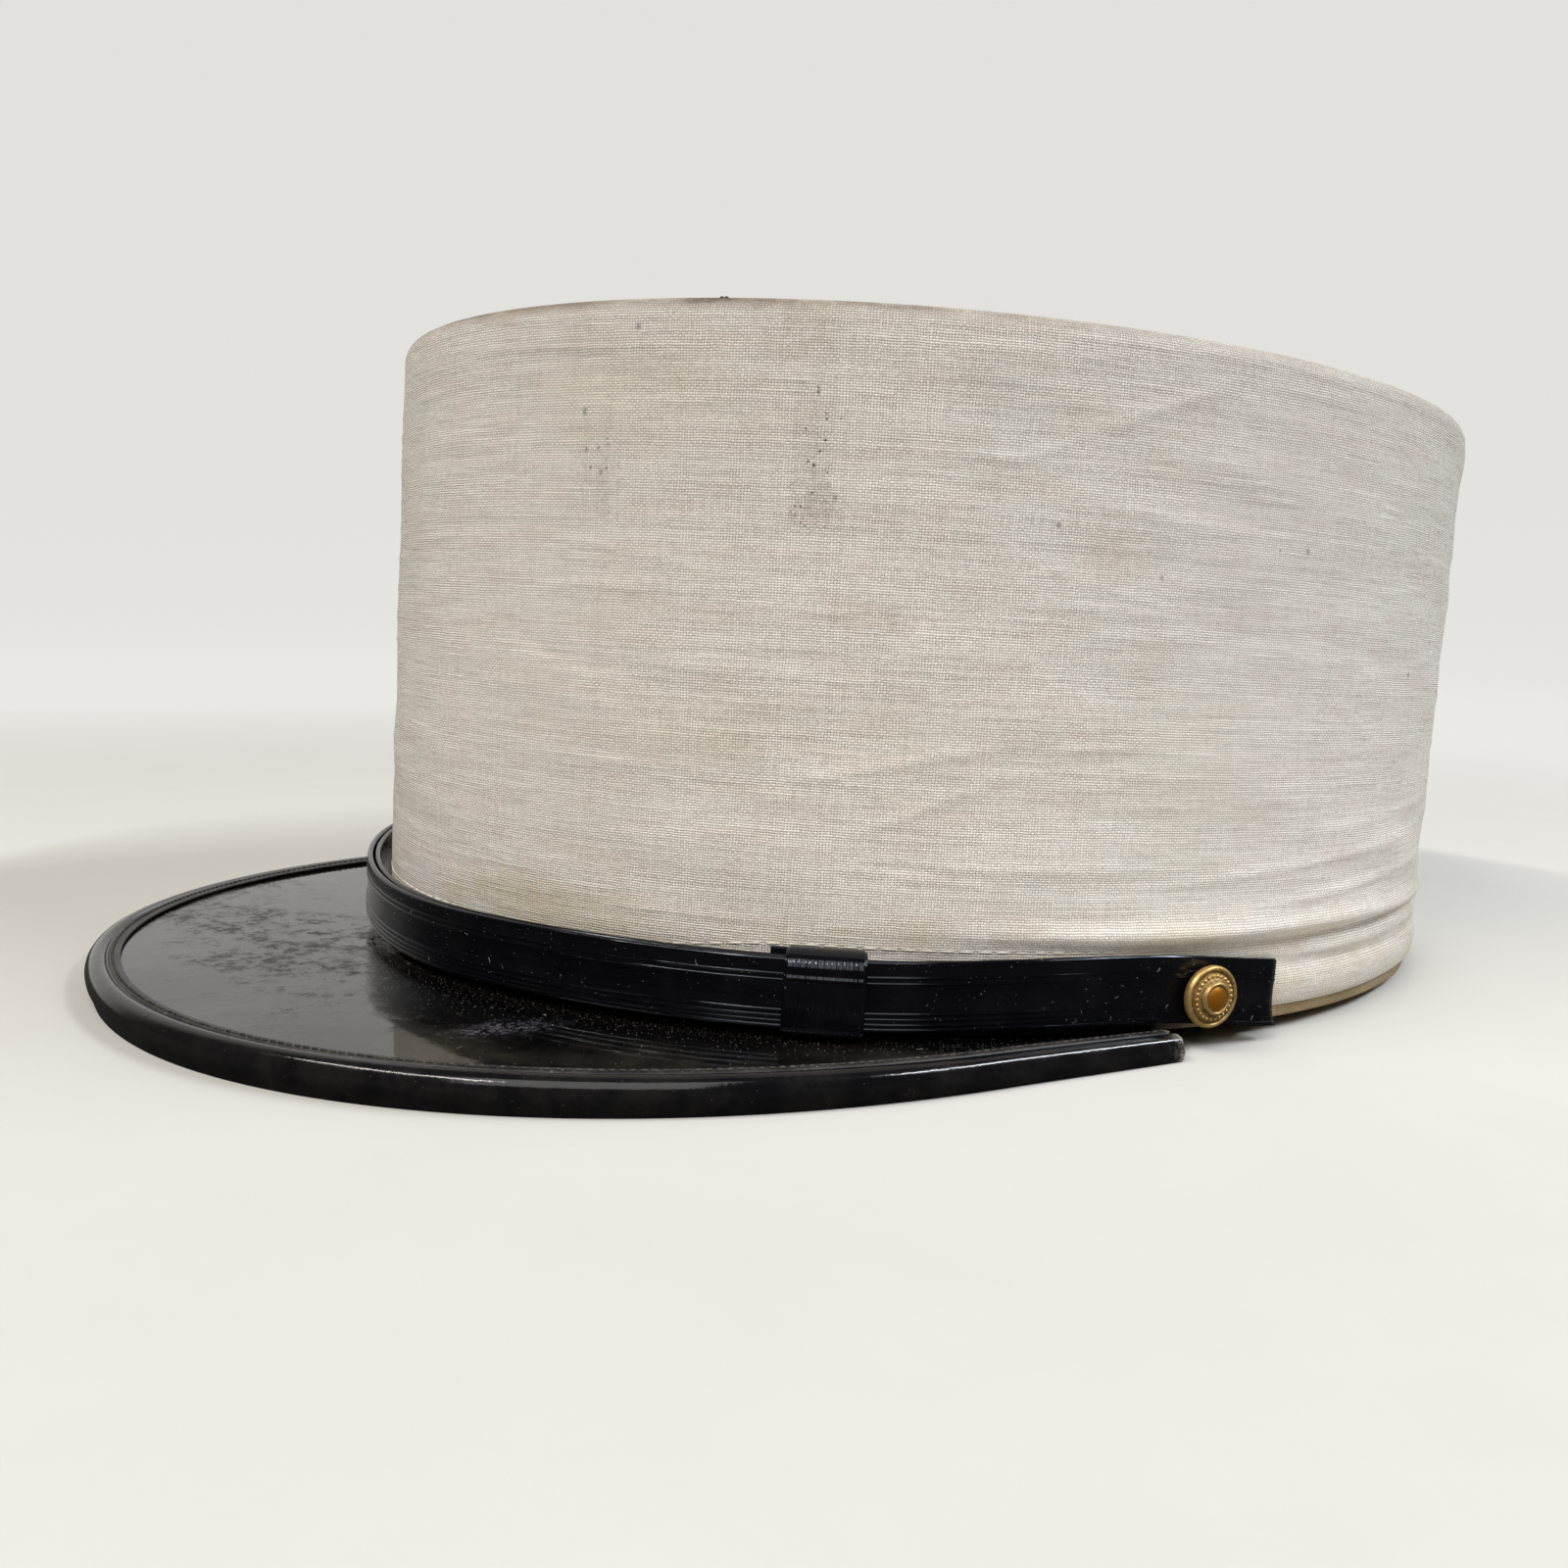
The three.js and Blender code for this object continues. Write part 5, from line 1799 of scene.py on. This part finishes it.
# %% Lint and dust on the black pieces
def dust_material(name, dark, light):
    material, tree, shader = new_material(name, Roughness=0.85)
    spot = object_place(tree)
    share = ramp(tree, noise(tree, spot, 700.0), 0.3, 0.7)
    feed(tree, shader["Base Color"], blend(tree, share, dark, light))
    return material


GREY_LINT = dust_material("grey_lint", tone(120, 112, 100), tone(206, 200, 190))
PALE_DUST = dust_material("pale_dust", tone(112, 104, 90), tone(204, 198, 186))
SCATTERED = table(
    "name on tree per_area size seed",
    ("visor_lint", visor, LINT_TREE, 1.2e4, 0.9, 8),
    ("visor_dust", visor, GRAIN_TREE, 2.1e6, 0.09, 3),
    ("strap_lint", strap_left, LINT_TREE, 9e3, 0.8, 6),
    ("strap_dust", strap_left, GRAIN_TREE, 2.4e5, 0.1, 2),
)

for row in SCATTERED:
    scattered_piece = bpy.data.objects.new(row["name"], row["on"].data.copy())
    scene.collection.objects.link(scattered_piece)
    finish = PALE_DUST if row["tree"] is GRAIN_TREE else GREY_LINT
    sizes = {"Per_area": row["per_area"], "Size": row["size"] * MM, "Seed": row["seed"]}
    run_tree(scattered_piece, row["tree"], Material=finish, **sizes)
    dress(scattered_piece, finish, "black_visor" if row["on"] is visor else "black_strap")

# %% [markdown]
# ## Floor and light
# A plain sweep of pale paper stands in for a studio: a floor that curves up into a wall all round the hat,
# so that no line shows. Two tubes hang overhead, a warm one on the left and a cooler one on the right. A
# soft panel lights the front, and a weaker one the back. The paper is lit near the hat and glows by
# itself further off, so that it looks even. Black vinyl mirrors all this, and photographers hang black
# flags to keep it black. Here the paper itself is dark to mirror rays, except for the glow on the far
# side, which the visor shows.

# %% Pale paper
SWEEP_REACH = 1.2
SWEEP_BEND = 0.8
SWEEP_WALL = 2.6
SWEEP_COLUMNS = 144
SWEEP_EYE = 0.02
FAR_TURN = math.radians(151)
FAR_SIDE = (math.cos(FAR_TURN), math.sin(FAR_TURN), 0.0)
BEHIND = {"from": 0.15, "full": 0.6}
PAPER = {"plain": tone(212, 210, 204), "fleck": tone(214, 212, 206), "flag": tone(34, 31, 28)}
PAPER_WALL = {"from": 0.22, "full": 0.62}
PAPER_GLOW = 0.75
GLOW_TINT = (1.0, 0.98, 0.94, 1.0)


def pale_paper():
    material, tree, shader = new_material("pale_paper", Roughness=0.95, Emission_Strength=PAPER_GLOW)
    material.cycles.emission_sampling = "NONE"
    spot = object_place(tree)
    fleck = ramp(tree, noise(tree, spot, 35.0, 6.0, 0.7), 0.3, 0.7)
    away = put(tree, "ShaderNodeVectorMath", spot, operation="LENGTH", out=1)
    wall = ramp(tree, away, PAPER_WALL["from"], PAPER_WALL["full"])
    rays = put(tree, "ShaderNodeLightPath").node.outputs
    behind = put(tree, "ShaderNodeVectorMath", spot, FAR_SIDE, operation="DOT_PRODUCT", out=1)
    behind = ramp(tree, calc(tree, "DIVIDE", behind, away), BEHIND["from"], BEHIND["full"])
    flagged = calc(tree, "MAXIMUM", rays["Is Glossy Ray"], wall)
    colour = blend(tree, fleck, PAPER["plain"], PAPER["fleck"])
    feed(tree, shader["Base Color"], blend(tree, flagged, colour, PAPER["flag"]))
    seen = scaled(tree, rays["Is Glossy Ray"], behind, rays["Is Camera Ray"])
    glow = times(tree, seen, wall)
    feed(tree, shader["Emission Color"], blend(tree, glow, (0.0, 0.0, 0.0, 1.0), GLOW_TINT))
    return material


# %% A paper sweep
def sweep_profile():
    """Distance out and height of the floor, the bend and the wall, in metres."""
    flat = [(reach, 0.0) for reach in np.linspace(SWEEP_EYE, SWEEP_REACH, 8)]
    bend = [(SWEEP_BEND * math.sin(a), SWEEP_BEND * (1 - math.cos(a))) for a in arc(0, 90, 20)[1:]]
    bend = [(SWEEP_REACH + out, up) for out, up in bend]
    return np.array(flat + bend + [(SWEEP_REACH + SWEEP_BEND + SWEEP_EYE, SWEEP_WALL)])


def paper_sweep():
    """A floor that curves up into a wall all round the hat."""
    line = sweep_profile()
    angle = np.linspace(0, 2 * math.pi, SWEEP_COLUMNS, endpoint=False)[:, None]
    reach, height = line[:, 0], line[:, 1]
    points = np.stack([reach * np.cos(angle), reach * np.sin(angle), height + 0 * angle], axis=-1)
    index = np.arange(points.shape[0] * points.shape[1]).reshape(points.shape[:2])
    after = np.roll(index, -1, axis=0)
    quads = np.stack([index[:, :-1], index[:, 1:], after[:, 1:], after[:, :-1]], axis=-1).reshape(-1, 4)
    mesh = bpy.data.meshes.new("paper_sweep")
    mesh.from_pydata(points.reshape(-1, 3).tolist(), [], quads.tolist() + [index[:, 0].tolist()])
    mesh.polygons.foreach_set("use_smooth", np.ones(len(mesh.polygons), bool))
    made = bpy.data.objects.new("paper_sweep", mesh)
    scene.collection.objects.link(made)
    return made


sweep = paper_sweep()
sweep.data.materials.append(pale_paper())
print("paper sweep:", len(sweep.data.polygons), "faces")


# %% Soft panels
TUBE = (1.2, 0.08)
SOFT = (1.1, 1.1)
WARM = (1.0, 0.95, 0.88)
COOL = (0.88, 0.94, 1.0)
NEARLY_WHITE = (1.0, 0.99, 0.98)
SOFT_WARM = (1.0, 0.98, 0.96)
PANELS = table(
    "name place size watts tint",
    ("tube_left", (0.15, -1.1, 1.4), TUBE, 16.0, WARM),
    ("tube_right", (0.8, 1.05, 1.35), TUBE, 23.0, COOL),
    ("panel_over", (0.86, -0.58, 1.2), SOFT, 12.4, NEARLY_WHITE),
    ("panel_back", (-0.95, 0.75, 1.1), SOFT, 5.0, SOFT_WARM),
)
PANEL_AIM = Vector((0.0, 0.0, 0.05))

for row in PANELS:
    lamp = bpy.data.lights.new(row["name"], "AREA")
    lamp.shape = "RECTANGLE"
    lamp.size, lamp.size_y = row["size"]
    lamp.energy = row["watts"]
    lamp.color = row["tint"]
    hung = bpy.data.objects.new(row["name"], lamp)
    scene.collection.objects.link(hung)
    hung.location = row["place"]
    hung.rotation_mode = "QUATERNION"
    hung.rotation_quaternion = (PANEL_AIM - hung.location).to_track_quat("-Z", "Y")
print(len(PANELS), "panels,", sum(row["watts"] for row in PANELS), "W in all")

# %% A dim room
ROOM = (0.06, 0.06, 0.065, 1.0)
ROOM_SEEN = tone(222, 219, 211)

world = bpy.data.worlds.new("dim_room")
scene.world = world
world.use_nodes = True
sky = world.node_tree
backdrop = next(n for n in sky.nodes if n.type == "BACKGROUND").inputs
seen = put(sky, "ShaderNodeLightPath")
feed(sky, backdrop["Color"], blend(sky, seen, ROOM, ROOM_SEEN))
scene.view_settings.view_transform = "Standard"

# %% [markdown]
# ## The camera
# From close by, a lens makes the near side of a thing loom and its far side shrink, and that is half of
# how this hat looks. So the camera stands as near as the picture's did, a little above the floor, with a
# lens and a slight roll that lay the hat's outlines where the picture has them.

# %% The camera of the picture
CAMERA_PLACE = (239.5, -138.9, 63.6)
CAMERA_TARGET = (-13.1, 0.2, 27.5)
CAMERA_ROLL = 1.7
CAMERA_LENS = 33.27

eye = Vector(CAMERA_PLACE) * MM
look = (Vector(CAMERA_TARGET) * MM - eye).normalized()
camera_data = bpy.data.cameras.new("camera")
camera_data.lens = CAMERA_LENS
camera_data.clip_start = 0.01
camera = bpy.data.objects.new("camera", camera_data)
scene.collection.objects.link(camera)
camera.rotation_mode = "QUATERNION"
upright = look.to_track_quat("-Z", "Y").to_matrix()
camera.rotation_quaternion = (upright @ Matrix.Rotation(math.radians(CAMERA_ROLL), 3, "Z")).to_quaternion()
camera.location = eye
scene.camera = camera
print(f"camera: {CAMERA_LENS} mm lens, {eye.length / MM:.0f} mm from the middle of the floor")
